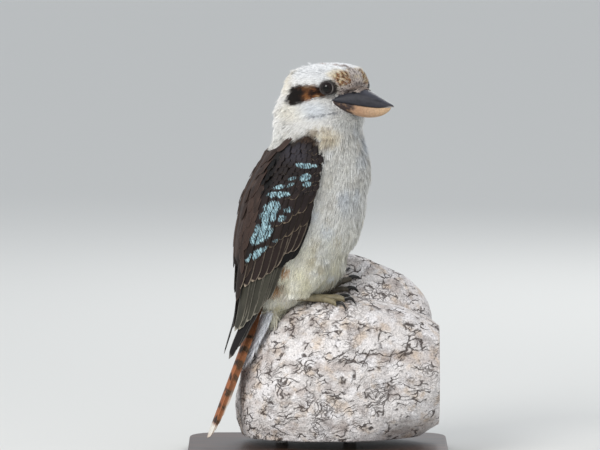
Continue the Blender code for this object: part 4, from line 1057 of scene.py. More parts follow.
def blue_amount(points):
    """How pale blue the wing is at a place: the strongest of some slanting ellipses with ragged edges."""
    amount = np.zeros(points.shape[:-1])
    ragged = noise(points, (2.5, 8.0, 4.0), 91) * 0.25
    for x, z, long, wide, slope, strength in BLUE:
        dx, dz = turned(points[..., 0] - x, points[..., 2] - z, -math.radians(slope))
        reach = np.hypot(dx / long, dz / wide) + ragged
        amount = np.maximum(amount, strength * (1.0 - ramp(reach, 0.7, 1.25)))
    return amount


def wing_shade(points, ground):
    """The wing's ground colour: slate near the shoulder, black in the shadow of the brown feathers."""
    x, z = points[..., 0], points[..., 2]
    colour = lay(ground, "#403e47", band(x, -40.0, -20.0, 6.0) * band(z, 134.0, 150.0, 6.0) * 0.5)
    shadow = 1.0 - ramp(x - np.interp(z, *BROWN_EDGE), 1.0, 6.5)
    return colour * (1.0 - 0.8 * shadow * ramp(z, 92.0, 112.0))[..., None]


# %% Blades as one mesh
def add_vanes(name, sets, finish, replaced):
    """Sets of blades with their colours as one mesh, each blade with a cell of its own in the bake map."""
    faces, columns, first, number = [], [], 0, 0
    side = math.ceil(math.sqrt(sum(len(one[0]) for one in sets)))
    for place, v, t, ground, fringe in sets:
        count, stations, around = v.shape
        faces += [part + first for part in shell_faces(count, stations, around)]
        first += v.size
        index = number + np.arange(count)[:, None, None]
        number += count
        cell = np.stack(((index % side + 0.5 + 0.42 * v) / side, (index // side + 0.05 + 0.9 * t) / side), -1)
        values = (place, ground, fringe, np.stack((v, t), -1), cell)
        columns.append([one.reshape(-1, one.shape[-1]) for one in values])
    points, paint, rim, vane, cells = (np.concatenate(column) for column in zip(*columns))
    add_mesh(name, to_world(points), faces, finish, {"paint": paint, "fringe": rim},
             {"vane": vane, "OFBake": cells}, replaced=replaced)


def line_of(count, first, last):
    """Places evenly from first to last."""
    share = np.linspace(0.0, 1.0, count)[:, None]
    return np.array(first) + (np.array(last) - np.array(first)) * share


# %% [markdown]
# Eight rows make up the folded wing, from the long primaries below to the coverts near the shoulder. A row
# is a table entry: its first and last root and tip, its size and depth, and its colours.

# %% Rows of large feathers
# how far the left wing's hindmost tips lie from the right wing's, forward and up
FAR_PRIMARY_SHIFT = (-8.0, 8.0)
FAR_WING_SHIFT = (4.5, 3.0)
# name: count, roots from and to, tips from and to, half width, depth, tilt, ground, fringe, fringe strength,
# blue, shoulder and power of the outline
TIERS = {
    "primaries": (8, (-32.0, 72.0), (-54.0, 60.0), (-70.5, -15.0), (-91.5, -55.0),
        5.4, -4.6, 0.55, "#191617", "#cfc9bd", 0.45, 0.0, 0.86, 3.0),
    "primary_coverts": (4, (-15.5, 100.0), (-28.0, 92.0), (-35.0, 42.0), (-52.0, 30.0),
        4.6, -2.2, 0.6, "#0e0b0c", "#4d433c", 0.4, 0.0, 0.8, 2.4),
    "secondaries": (9, (-40.0, 70.0), (-69.0, 68.0), (-58.0, 4.0), (-86.0, -28.0),
        5.9, -3.4, 0.7, "#434138", "#c4bcab", 0.85, 0.0, 0.82, 2.4),
    "tertials": (4, (-58.0, 98.0), (-69.0, 92.0), (-74.0, 30.0), (-81.5, 2.0),
        5.8, -1.5, 0.5, "#30251f", "#8a7464", 0.5, 0.0, 0.82, 2.4),
    "greater_coverts": (9, (-22.0, 92.0), (-66.0, 80.5), (-36.5, 50.0), (-80.0, 12.0),
        6.4, -1.6, 0.7, "#251b18", "#c9b7a2", 0.95, 0.15, 0.74, 2.2),
    "lower_median_coverts": (8, (-17.0, 109.0), (-60.0, 96.0), (-28.0, 76.0), (-75.0, 36.0),
        6.8, -0.9, 0.75, "#231a17", "#c4af95", 0.95, 1.0, 0.7, 2.2),
    "median_coverts": (8, (-12.5, 125.0), (-56.0, 112.0), (-22.0, 93.0), (-70.0, 58.0),
        6.8, -0.5, 0.75, "#231a19", "#c4af95", 0.95, 1.0, 0.7, 2.2),
    "upper_coverts": (8, (-9.0, 139.0), (-50.0, 126.0), (-17.0, 111.0), (-62.0, 84.0),
        6.4, -0.1, 0.75, "#241b1a", "#bfab94", 0.9, 1.0, 0.68, 2.2),
}


def vane_set(spec, side):
    """One row of feathers with its colours."""
    count, root_a, root_b, tip_a, tip_b, *rest = spec
    half, depth, tilt, ground, fringe, strength, blue, shoulder, power = rest
    shake = RANDOM.normal(0.0, 1.0, (4, count))
    roots = line_of(count, root_a, root_b) + shake[:2].T * 0.6
    tips = line_of(count, tip_a, tip_b) + shake[:2].T * np.array((0.6, 1.6))
    if side > 0:
        shift, first = (FAR_PRIMARY_SHIFT, 0.3) if tip_a[1] < 0.0 else (FAR_WING_SHIFT, 0.0)
        tips = tips + np.array(shift) * np.linspace(first, 1.0, count)[:, None]
    half, depth = half * (1.0 + 0.05 * shake[2]), depth + 0.05 * shake[3]
    place, v, t = vanes(roots, tips, half, depth, tilt, side, shoulder=shoulder, power=power)
    mottle = 1.0 + 0.25 * noise(place, (4.0, 4.0, 9.0), 95)
    dark = linear(ground) * (1.0 + 0.16 * shake[3])[:, None, None, None] * mottle[..., None]
    amount = blue_amount(place) * blue * (1.0 - 0.6 * ramp(np.abs(v), 0.74, 0.96))
    paint = with_fourth(np.clip(wing_shade(place, dark), 0.0, 1.0), amount)
    rim = 0.06 + 0.3 * (blue < 0.5) + 0.64 * ramp(t, 0.72, 0.93)
    rim = strength * (1.0 - amount * 0.7) * rim * RANDOM.uniform(0.6, 1.1, count)[:, None, None]
    if blue > 0.5:
        edge = np.interp(place[..., 2], *WING_FRONT)
        rim = rim * (0.25 + 0.75 * ramp(place[..., 0], edge - 30.0, edge - 14.0))
    return place, v, t, paint, with_fourth(linear(fringe), rim)


# %% [markdown]
# The shoulder and the band between back and wing carry small round feathers, laid like tiles in rows that
# are shifted by half a step.

# %% Rows of small feathers
def staggered(heights, front, back, step):
    """Roots in rows from front to back, every other row half a step behind, and shaken a little."""
    rows = []
    for number, height in enumerate(heights):
        places = np.arange(front[number] - (number % 2) * step / 2.0, back[number], -step)
        rows.append(np.column_stack((places, np.full(len(places), height))))
    rows = np.concatenate(rows)
    return rows + RANDOM.normal(0.0, 0.5, rows.shape)


def lesser_rows(side):
    """Small rounded feathers in staggered rows near the shoulder, each pointing down and back."""
    heights = np.arange(157.0, 108.0, -4.2)
    front, back = np.interp(heights, *WING_FRONT) - 3.5, np.interp(heights, *BROWN_EDGE) - 2.5
    roots = staggered(heights, front, back, 4.8)
    roots = roots[roots[:, 1] < np.interp(roots[:, 0], *MANTLE_EDGE) + 2.0]
    count = len(roots)
    long = 8.6 * RANDOM.uniform(0.85, 1.15, count)
    tips = roots + np.column_stack((-0.38 * long, -0.92 * long))
    half, depth = 3.1 * RANDOM.uniform(0.9, 1.1, count), 0.3 + RANDOM.uniform(-0.1, 0.1, count)
    place, v, t = vanes(roots, tips, half, depth, 0.35, side, stations=12, columns=7, root=0.6, shoulder=0.55,
                        power=2.0, dip=1.6, arch=0.3)
    shade = RANDOM.uniform(0.7, 1.3, count)[:, None, None, None]
    colour = wing_shade(place, np.clip(linear("#221b1b") * shade, 0.0, 1.0))
    edge = np.interp(place[..., 2], *WING_FRONT)
    rim = 0.85 * (0.3 + 0.7 * ramp(place[..., 0], edge - 18.0, edge - 9.0))
    rim = rim * ramp(place[..., 2], 100.0, 112.0) * ramp(t, 0.6, 0.85)
    return place, v, t, with_fourth(colour, blue_amount(place)), with_fourth(linear("#b8a48c"), rim)


def scapular_rows(side):
    """The brown band between back and wing, as broad overlapping feathers that narrow to a point low down."""
    heights = np.arange(156.0, 48.0, -5.0)
    inner_edge = ((30.0, 56.0, 80.0, 110.0, 140.0, 156.0), (-80.0, -79.5, -75.5, -67.0, -52.0, -41.0))
    inner, outer = np.interp(heights, *inner_edge), np.interp(heights, *BROWN_EDGE) - 2.0
    roots = staggered(heights, np.maximum(outer, inner + 2.0), inner - 0.1, 5.2)
    roots = roots[roots[:, 1] < np.interp(roots[:, 0], *MANTLE_EDGE) + (9.0 if side < 0 else 3.0)]
    count = len(roots)
    long = np.interp(roots[:, 1], (56.0, 156.0), (26.0, 16.0)) * RANDOM.uniform(0.9, 1.1, count)
    steep = np.interp(roots[:, 1], (52.0, 80.0, 110.0, 157.0), (0.06, 0.2, 0.34, 0.75))
    steep = np.column_stack((-np.sin(steep), -np.cos(steep)))
    tips = roots + steep * long[:, None]
    for ends in (roots, tips):
        centre, _, back = smooth(WING_RINGS, ends[:, 1])[:3]
        ends[:, 0] = np.maximum(ends[:, 0], centre - back + np.interp(ends[:, 1], (20.0, 62.0), (5.5, 0.3)))
    half, depth = 4.2 * RANDOM.uniform(0.9, 1.1, count), np.interp(roots[:, 1], (70.0, 110.0), (-0.4, 0.35))
    depth = depth + RANDOM.uniform(-0.1, 0.15, count)
    place, v, t = vanes(roots, tips, half, depth, 0.3, side, stations=16, columns=9, root=0.6, shoulder=0.6,
                        power=2.0, dip=2.2, arch=0.4)
    shade = RANDOM.uniform(0.75, 1.25, count)[:, None, None, None]
    colour = np.clip(linear("#3b2d27") * shade * np.ones(place.shape), 0.0, 1.0)
    colour = lay(colour, "#2a201c", ramp(noise(place, (3.0, 3.0, 9.0), 97), 0.0, 0.6) * 0.6)
    none = np.zeros(v.shape)
    return place, v, t, with_fourth(colour, none), with_fourth(linear("#7d6860"), none + 0.4)


# %% The pad under the coverts, and both wings
def wing_pad(side):
    """The arm under the small feathers and the down behind it: a closed plate on the wings' surface."""
    heights = np.linspace(32.0, 155.0, 44)
    front = np.interp(heights, *WING_FRONT) + 1.0
    end = wing_angle(heights, front)
    start = np.interp(heights, (32.0, 44.0, 140.0, 155.0), (0.3, 0.03, 0.03, 0.9))
    end = start + (np.maximum(end, start + 0.3) - start) * np.interp(heights, (32.0, 50.0), (0.35, 1.0))
    share = np.linspace(0.0, 1.0, 14)
    angle = start[:, None] + (end - start)[:, None] * share
    sunk = ((48.0, 64.0, 96.0, 128.0, 140.0, 155.0), (-7.2, -6.0, -3.6, -1.9, -1.6, -3.6))
    high = np.interp(heights, *sunk)[:, None]
    high = high + (-0.9 - high) * (1.0 - ramp(angle, 0.22, 0.45))
    rims = np.where(share < 0.5, ramp(start, 0.05, 0.3)[:, None], 1.0)
    high = high - 2.2 * np.abs(share * 2 - 1) ** 6 * rims
    level = np.broadcast_to(heights[:, None], angle.shape)
    outer = wing(level, angle, side, high)
    inner = wing(level, angle, side, np.full(angle.shape, -9.5))
    points = np.concatenate((outer, inner[:, ::-1]), 1)
    ahead = points[..., 0] - np.interp(points[..., 2], *BROWN_EDGE)
    back = 1.0 - ramp(ahead, -1.5, 0.0)
    # dark brown down, its darkness also painted shade for the gaps between the coverts; brown under the brown
    # feathers behind; and a painted black shadow line just in front of them
    colour = lay(
        plain(points, "#231b17"),
        "#43342d", back,
        "#2a201c", back * ramp(noise(points, (2.2, 2.2, 8.0), 99), -0.1, 0.5) * 0.8,
        "#0b0808", band(ahead, 0.0, 6.0, 1.0) * ramp(points[..., 2], 96.0, 110.0),
    )
    return points, colour


pad_finish = painted("down under the coverts", Roughness=0.85)[0]
for word, side in (("right", -1), ("left", 1)):
    sets = [vane_set(spec, side) for spec in TIERS.values()]
    sets += [lesser_rows(side), scapular_rows(side)]
    add_vanes(f"feathers_{word}", sets, wing_finish, (f"wing_{word}",))
    add_parts(f"wing_pad_{word}", [wing_pad(side)], pad_finish)

# %% [markdown]
# ## The tail
# Six pairs of rufous feathers with black bars and broad white tips. The middle pair lies on top and each
# outer pair is a little shorter and lower. They are a tile's overlap apart, so their edges show as lines.

# %% Tail
def tail_feathers():
    """Twelve blades along the tail: the distance from the root and the place across give each point."""
    stations, columns = 90, 9
    t = np.linspace(0.0, 1.0, stations)
    v, below = blade_section(columns)
    pair = np.repeat(np.arange(6), 2)[:, None, None]
    side = np.tile((-1.0, 1.0), 6)[:, None, None]
    reach = TAIL_LENGTH - 1.1 * pair * pair - pair
    share = vane_outline(t, 0.5, 0.93, 2.2)[None, :, None] * (0.8 + 0.2 * t)[None, :, None]
    spread = (0.7 + 1.15 * pair) * (0.43 + 0.77 * t[None, :, None])
    inner, outer = np.maximum(0.35, spread - 3.4 * share), spread + 9.0 * share
    middle, half = (inner + outer) / 2.0, (outer - inner) / 2.0
    drop = 0.85 * (pair + np.where(side > 0, 0.4, 0.0)) * (1.1 - 0.35 * t[None, :, None])
    aside = middle + half * v
    low = drop + 0.24 * half * (v + 1.0) / 2.0 + 0.4 * below + 0.25 * v * v
    along = np.broadcast_to(reach * t[None, :, None], aside.shape)
    place = TAIL_ROOT + along[..., None] * TAIL_WAY - low[..., None] * TAIL_UP
    place = place + (side * aside)[..., None] * np.array((0.0, 1.0, 0.0))
    return place, np.broadcast_to(v, aside.shape), np.broadcast_to(t[None, :, None], aside.shape), along, pair


place, v, t, along, pair = tail_feathers()
wander = noise(place, (7.0, 5.0, 7.0), 101) * 3.0
bar = np.abs(((along + wander - 57.0) / 14.0 + 0.5) % 1.0 - 0.5)
bars = (1.0 - ramp(bar, 0.15, 0.25)) * band(along, 40.0, 132.0, 2.0)
blotch = ramp(noise(place, (5.0, 4.0, 5.0), 103), -0.9, -0.35)
white = ramp(along + wander * 0.8, 129.0, 133.0)
outer_white = ramp(pair, 2.5, 4.5) * ramp(v, 0.1, 0.6) * ramp(along, 90.0, 112.0)
dusky = ramp(noise(place, (12.0, 4.0, 12.0), 105), -0.2, 0.6) * 0.6
colour = lay(
    plain(place, "#a5643c"),
    "#7a452a", dusky,
    "#1f1712", bars * blotch * 0.93,
    "#f1ece2", np.maximum(white, outer_white * 0.9),
)
paint = with_fourth(colour, np.zeros(v.shape))
rim = with_fourth(linear("#d9b08c"), np.full(v.shape, 0.35))
tail_finish = feather_finish("tail feathers", 0.6, 110.0)
add_vanes("tail_feathers", [(place, v, t, paint, rim)], tail_finish, ("tail",))

# %% [markdown]
# ## Eyes, lids and bill
# The eye is a dark wet ball in a rim of bare grey skin. The bill is horn: slate black above, flesh below.

# %% Eyes
eye_finish, tree, shader = new_finish("wet eye", Roughness=0.04, IOR=1.34)
paint = add(tree, "ShaderNodeAttribute", attribute_name="paint").outputs["Color"]
tree.links.new(paint, shader.inputs["Base Color"])
lid_finish, tree, shader, fine = painted("bare skin round the eye", 2500.0, 0.2, Roughness=0.55)
bumps(tree, shader, fine, 0.4, 0.0003)


def eyeball(side):
    """A ball whose pole looks out: rings by the angle from the look, pupil black and iris dark brown."""
    polar, around = grid(np.linspace(0.002, np.pi - 0.002, 48), circle(64))
    look = head_way(eye_look(side))
    ring = np.cos(around)[..., None] * np.cross(UP, look) + np.sin(around)[..., None] * UP
    out = np.cos(polar)[..., None] * look + np.sin(polar)[..., None] * ring
    place = eye_centre(side) + EYE_RADIUS * out
    pupil = 1.0 - ramp(polar, 0.42, 0.46)
    return place, lay(plain(place, "#160c0b"), "#040303", pupil, "#0d0a09", ramp(polar, 0.75, 0.9))


def eyelid(side):
    """The rim of the eye: a ring with a soft round section, pinched a little at the front and back corner."""
    around, section = grid(circle(96), circle(14))
    look = head_way(eye_look(side))
    level = np.cross(UP, look)
    squeeze = 1.0 - 0.13 * np.abs(np.sin(around)) ** 1.3
    out = np.cos(around)[..., None] * level + (np.sin(around) * squeeze)[..., None] * UP
    wrinkle = 1.0 + 0.1 * np.sin(around * 26.0 + np.sin(section) * 2.0)
    reach = 6.2 + 1.25 * np.cos(section) * wrinkle
    forth = EYE_DEPTH - 0.6 + np.sin(section) * wrinkle
    place = eye_centre(side) + look * forth[..., None] + out * reach[..., None]
    ahead = to_head(place)[..., 0] - to_head(eye_centre(side))[0]
    colour = lay(
        plain(place, "#2d2523"),
        "#120e0c", ramp(-np.cos(section), -0.2, 0.8),
        # painted highlight: the front of the rim pale on its inner side
        "#b3a99f", ramp(ahead, 5.6, 7.6) * ramp(-np.cos(section), -0.2, 0.6) * 0.8,
    )
    here = np.arange(96)[:, None] * 14
    there = (np.arange(96)[:, None] + 1) % 96 * 14
    j = np.arange(14)[None]
    k = (j + 1) % 14
    return place, colour, [np.stack((here + j, there + j, there + k, here + k), -1).reshape(-1, 4)]


for word, side in (("right", -1), ("left", 1)):
    add_parts(f"eyeball_{word}", [eyeball(side)], eye_finish, (f"eye_{word}",))
add_parts("eyelids", [eyelid(-1), eyelid(1)], lid_finish)

# %% Bill
NOSTRIL = np.array((43.8, 8.8, -2.8))
horn_finish, tree, shader, fine = painted("bill horn", 700.0, 0.16, Roughness=0.45, Specular_IOR_Level=0.28)
bumps(tree, shader, fine, 0.15, 0.0004)


def bill_half(table, upper):
    """One half of the bill from its table: places along it and angles over its arch, and a flat floor."""
    start, end = table[0, 0], table[-1, 0]
    f = start + (end - start) * (1.0 - (1.0 - np.linspace(0.0, 1.0, 110)) ** 1.25)
    top, bottom, half = smooth(table, f)
    close = np.sqrt(np.clip((end - f) / 2.0, 0.0, 1.0))[:, None]
    angle = np.linspace(0.0, np.pi, 33)
    edge, rise = (bottom, 1.0) if upper else (top, -1.0)
    power = 0.85 if upper else 0.9
    across = np.cos(angle)[None] * half[:, None]
    lift = np.sin(angle)[None] ** power * (top - bottom)[:, None]
    floor = np.linspace(-1.0, 1.0, 9)[1:-1][None] * half[:, None]
    across = np.concatenate((across, floor), 1) * np.maximum(close, 0.05)
    lift = np.concatenate((lift, np.zeros_like(floor)), 1) * np.maximum(close, 0.3)
    forward = np.broadcast_to(f[:, None], across.shape)
    place = np.stack((forward, -across, edge[:, None] + rise * lift), -1)
    share = lift / np.maximum((top - bottom)[:, None], 0.1)
    if upper:
        x, y, z = place[..., 0], np.abs(place[..., 1]), place[..., 2]
        slot = np.linalg.norm((np.stack((x, y, z), -1) - NOSTRIL) / np.array((3.2, 3.0, 1.2)), axis=-1)
        pit = 1.0 - ramp(slot, 0.6, 1.1)
        groove = np.abs(z + 6.0 + 0.12 * (x - 44.0))
        line = (1.0 - ramp(groove, 0.2, 1.6)) * band(x, 44.0, 70.0, 6.0) * ramp(y, 2.0, 4.0)
        place[..., 1] -= np.sign(place[..., 1]) * pit * 1.1
        place[..., 1] -= np.sign(place[..., 1]) * line * 0.35
        colour = lay(
            plain(place, "#2b2b32"),
            # painted highlight: lighter along the top of the upper bill
            "#45464f", ramp(share, 0.7, 0.97) * 0.8,
            "#1c1c20", ramp(noise(place, (9.0, 2.0, 2.0), 113), 0.0, 0.6) * 0.5,
            "#a39a90", ramp(forward, 79.0, 87.0) * 0.75 * (1.0 - ramp(share, 0.1, 0.5)),
            # painted shade: the nostril's pit black
            "#060505", pit,
        )
    else:
        stain = noise(place, (3.0, 3.0, 2.0), 111) * 3.0
        colour = lay(
            plain(place, "#b8987b"),
            "#c8ab88", ramp(forward, 60.0, 84.0) * 0.7,
            "#a07a60", (1.0 - ramp(forward + stain, 50.0, 64.0)) * 0.6,
            "#2f2628", (1.0 - ramp(forward + stain + share * 9.0, 46.0, 51.0)) * 0.97,
            "#b08a68", ramp(noise(place, 2.0, 115), 0.1, 0.6) * 0.35,
        )
    return from_head(place), colour


for word, table in (("upper", UPPER_BILL), ("lower", LOWER_BILL)):
    half = bill_half(table, word == "upper")
    add_parts(f"bill_{word}_horn", [half], horn_finish, (f"bill_{word}",))

# %% [markdown]
# ## The limb
# A knuckle of a thick old limb, sawn to the right. Its level rings are lumpy, and the bark is cut by short
# wandering cracks, most of them nearly level, that rise a little to the right.

# %% Bark and sawn wood
# the saw's place forward
LIMB_CUT = 114.0


def bark_finish():
    """Pale bark with dark cracks, where a noise is nearly even and along cell borders of two sizes.

    All three patterns are bent by noise, drawn out along the cracks' way and broken up by other noises.
    """
    made, tree, shader = new_finish("bark", Roughness=0.9)
    paint = add(tree, "ShaderNodeAttribute", attribute_name="paint")
    place = object_place(tree)

    def noise_at(scale, detail=2.0, vector=place):
        return noise_node(tree, vector, scale, detail)

    def shifted(vector, scale, reach):
        inputs = {0: noise_at(scale)["Color"], 1: (0.5, 0.5, 0.5)}
        way = add(tree, "ShaderNodeVectorMath", inputs, operation="SUBTRACT").outputs[0]
        way = add(tree, "ShaderNodeVectorMath", {0: way, "Scale": reach}, operation="SCALE").outputs[0]
        return add(tree, "ShaderNodeVectorMath", {0: vector, 1: way}, operation="ADD").outputs[0]

    bent = shifted(shifted(place, 45.0, 0.022), 190.0, 0.006)
    bent = add(tree, "ShaderNodeMapping", {"Vector": bent, "Rotation": (0.0, 0.28, 0.0)}).outputs[0]
    bent = stretched(tree, bent, (1.0, 1.0, 2.5))
    level = calc(tree, "ABSOLUTE", calc(tree, "SUBTRACT", noise_at(19.0, 2.3, bent)[0], 0.5))
    cracks = step_between(tree, level, 0.003, 0.013, 1.0, 0.0)
    cracks = calc(tree, "MULTIPLY", cracks, step_between(tree, noise_at(42.0, 3.0)[0], 0.49, 0.56))
    # scale and width of the borders, then scale and limits of the noise that breaks them up
    nets = ((58.0, 0.08, 70.0, 0.47, 0.57), (150.0, 0.12, 60.0, 0.44, 0.58))
    for scale, width, mask_scale, low, high in nets:
        inputs = {"Vector": bent, "Scale": scale}
        cells = add(tree, "ShaderNodeTexVoronoi", inputs, feature="DISTANCE_TO_EDGE")
        there = step_between(tree, noise_at(mask_scale, 3.0)[0], low, high)
        if scale > 100.0:
            crackled = step_between(tree, paint.outputs["Alpha"], 0.1, 0.9, 0.35, 1.0)
            there = calc(tree, "MULTIPLY", there, crackled)
        line = step_between(tree, cells.outputs["Distance"], 0.2 * width, width, 1.0, 0.0)
        cracks = calc(tree, "MAXIMUM", cracks, calc(tree, "MULTIPLY", line, there))
    pits = step_between(tree, noise_at(420.0, 3.0)[0], 0.62, 0.7)
    pits = calc(tree, "MULTIPLY", pits, step_between(tree, paint.outputs["Alpha"], 0.0, 1.0, 0.45, 1.0))
    dark = calc(tree, "MAXIMUM", cracks, pits)
    fine = noise_at(650.0, 4.0)[0]
    patches = noise_at(75.0, 4.0)["Color"]
    tones = add(tree, "ShaderNodeSeparateColor", {0: patches}).outputs
    tone = paint.outputs["Color"]
    stains = ((0.5, 0.68, 0.6, "#d3bda6"), (0.48, 0.66, 0.6, "#f5f2f3"), (0.52, 0.7, 0.5, "#9a8d88"))
    for number, (low, high, most, code) in enumerate(stains):
        tone = blend(tree, step_between(tree, tones[number], low, high, 0.0, most), tone, rgba(code))
    tone = blend(tree, 1.0, tone, step_between(tree, fine, 0.3, 0.7, 0.82, 1.2), "MULTIPLY")
    tone = blend(tree, calc(tree, "MULTIPLY", dark, 0.9), tone, rgba("#34261f"))
    axes = add(tree, "ShaderNodeSeparateXYZ", {0: place}).outputs
    sawn = calc(tree, "GREATER_THAN", axes[0], LIMB_CUT * MM - 0.0001)
    from_pith = {0: place, 1: (LIMB_CUT * MM, 0.012, 0.082)}
    flat = add(tree, "ShaderNodeVectorMath", from_pith, operation="SUBTRACT").outputs[0]
    radius = add(tree, "ShaderNodeVectorMath", {0: shifted(flat, 25.0, 0.012)}, operation="LENGTH")
    rings = calc(tree, "SINE", calc(tree, "MULTIPLY", radius.outputs["Value"], 2.0 * math.pi / 0.0036))
    wood = blend(tree, step_between(tree, rings, -0.2, 1.0, 0.0, 0.75), rgba("#cfae86"), rgba("#94704c"))
    wood = blend(tree, 1.0, wood, step_between(tree, fine, 0.3, 0.7, 0.85, 1.1), "MULTIPLY")
    tree.links.new(blend(tree, sawn, tone, wood), shader.inputs["Base Color"])
    crumbs = calc(tree, "MULTIPLY", noise_at(210.0, 3.0, bent)[0], 1.6)
    height = calc(tree, "SUBTRACT", calc(tree, "ADD", calc(tree, "MULTIPLY", fine, 0.5), crumbs), dark)
    bumps(tree, shader, calc(tree, "MULTIPLY", height, calc(tree, "SUBTRACT", 1.0, sawn)), 0.7, 0.0014)
    return made


bark_look = bark_finish()
print("bark material with", len(bark_look.node_tree.nodes), "nodes")

# %% Limb
# height, left, right, near and far reach of the limb's level rings, then of the shoulder's
LIMB_RINGS = np.array((
    (19.0, -74.0, 96.0, -56.0, 68.0),
    (33.0, -79.0, 118.0, -60.0, 74.0),
    (53.0, -79.5, 134.0, -61.0, 78.0),
    (73.0, -75.0, 140.0, -60.0, 80.0),
    (89.0, -68.5, 140.0, -57.0, 79.0),
    (103.0, -60.0, 134.0, -53.0, 77.0),
    (115.0, -51.5, 124.0, -49.0, 73.0),
    (125.0, -43.0, 112.0, -46.0, 66.0),
    (133.0, -35.5, 97.0, -43.0, 58.0),
    (138.0, -30.0, 85.0, -40.0, 52.0),
    (142.0, -24.5, 73.0, -36.5, 45.0),
    (146.0, -17.0, 58.0, -30.0, 36.0),
    (149.0, -8.0, 42.0, -20.0, 26.0),
    (150.5, 15.9, 16.1, 2.9, 3.1),
))
SHOULDER_RINGS = np.array((
    (96.0, -26.0, 104.0, -8.0, 72.0),
    (118.0, -28.0, 106.0, -6.0, 76.0),
    (136.0, -24.0, 104.5, -1.0, 77.0),
    (150.0, -17.0, 97.5, 7.0, 76.0),
    (158.0, -12.0, 90.0, 14.5, 74.0),
    (167.5, -5.0, 77.0, 25.0, 70.0),
    (176.0, 2.0, 58.0, 34.0, 65.0),
    (182.0, 7.0, 44.0, 41.0, 61.0),
    (186.0, 14.0, 31.0, 46.0, 57.0),
    (187.5, 21.9, 22.1, 51.4, 51.6),
))
SHOULDER_MIDDLE = (22.0, 51.5)
LIMB_LUMPS = ((3, 0.022, 0.6, 0.024), (5, 0.018, 2.1, -0.041), (9, 0.009, 4.0, 0.062))


def bough(table, turn):
    """A limb's surface from its table: a distance up its left profile, and an angle round it."""
    walk = np.concatenate(([0.0], np.cumsum(np.hypot(np.diff(table[:, 0]), np.diff(table[:, 1])))))
    rows = np.column_stack((walk, table))

    def surface(s, angle):
        height, left, right, near, far = smooth(rows, s)
        along, across = power_circle(angle, 2.1)
        swell = 1.0
        for count, size, phase, rate in LIMB_LUMPS:
            swell = swell + size * np.sin(count * angle + phase + rate * height)
        x = along * (right - left) / 2.0 * swell + (left + right) / 2.0
        y = across * (far - near) / 2.0 * swell + (near + far) / 2.0
        mx, my = SHOULDER_MIDDLE
        x, y = turned(x - mx, y - my, turn)
        return np.stack((x + mx, y + my, height), -1)

    return surface, walk[-1]


def bark_part(table, turn, rows, sides):
    """One closed bark mesh: the surface with plates, a knot and fine lumps, cut flat at the saw."""
    surface, high = bough(table, turn)
    s, angle = grid(np.linspace(0.0, high, rows), circle(sides))
    place, normal, _, _ = on_surface(surface, s, angle, 0.0, high)
    grain, plates = rough(place, 6.0, 151, 3), rough(place, (24.0, 24.0, 11.0), 155, 3)
    knot = np.linalg.norm((place - np.array((-1.5, -56.0, 126.5))) / np.array((6.0, 14.0, 4.0)), axis=-1)
    knot = 1.0 - ramp(knot + 0.35 * noise(place, 3.0, 157), 0.55, 1.1)
    relief = -0.4 + 0.3 * grain + 0.7 * plates - 1.6 * knot
    place = place + normal * (relief * ramp(s, 0.0, 6.0))[..., None]
    place[..., 0] = np.minimum(place[..., 0], LIMB_CUT)
    feet = 1.0 - ramp(np.linalg.norm(place - np.array((6.0, -14.0, 147.0)), axis=-1), 22.0, 46.0)
    left = 1.0 - ramp(place[..., 0], -60.0, -25.0)
    crackle = np.maximum(feet, 0.75 * ramp(noise(place, 30.0, 159), 0.0, 0.5) + 0.5 * left)
    colour = lay(
        plain(place, "#dfd9d6"),
        "#ebe6e4", ramp(plates, 0.0, 0.8),
        "#bfb2ab", ramp(-plates, 0.1, 0.8) * 0.7,
        "#8a7769", feet * ramp(grain, -0.3, 0.5) * 0.65,
        "#3a2820", knot * 0.95,
    )
    paint = np.concatenate((colour, np.clip(crackle, 0.0, 1.0)[..., None]), -1)
    bottom = place[0].mean(axis=0)
    place = np.concatenate((bottom + (place[:1] - bottom) * 0.05, bottom + (place[:1] - bottom) * 0.6, place))
    place[:2, :, 2] = table[0, 0]
    return place, np.concatenate((paint[:1], paint[:1], paint))


parts = [bark_part(LIMB_RINGS, 0.0, 190, 340), bark_part(SHOULDER_RINGS, math.radians(8.0), 110, 260)]
points, faces, colours = merged(parts)
bark = add_mesh("bark", points, faces, bark_look, {"paint": colours}, replaced=("perch",))
limb_tree = BVHTree.FromObject(bark, bpy.context.evaluated_depsgraph_get())

# %% [markdown]
# ## Feet
# Bare olive-grey toes with rows of scutes grip the bark, the two outer front toes joined at the root. Each
# claw is a black curved horn.

# %% Feet
# turn from straight ahead in degrees, length and radius of each toe
TOES = ((-12.0, 24.0, 3.1), (8.0, 28.0, 3.6), (30.0, 24.0, 3.2), (-152.0, 14.0, 2.8))
CLAW_LENGTH = 10.0
# forward, up and share of the way along at the knots of a claw
CLAW = ((-2.5, 0.2, 0.0), (1.8, 1.5, 0.12), (5.4, 1.2, 0.38), (8.2, -1.6, 0.68), (9.4, -6.0, 1.0))


def bark_level(x, y, radius):
    """The height in the bird's frame at which a ball of that radius rests on the bark at a place."""
    best = -1e9
    for share, count in ((0.0, 1), (0.7, 6)):
        for step in range(count):
            a = 2.0 * math.pi * step / count
            px, py = x + radius * share * math.cos(a), y + radius * share * math.sin(a)
            wx, wy = turned(px, py, BODY_TURN)
            hit = limb_tree.ray_cast(Vector((wx * MM, wy * MM, 0.4)), Vector((0.0, 0.0, -1.0)))[0]
            best = max(best, hit.z / MM - SOLE_LEVEL + radius * math.sqrt(1.0 - share * share))
    return best


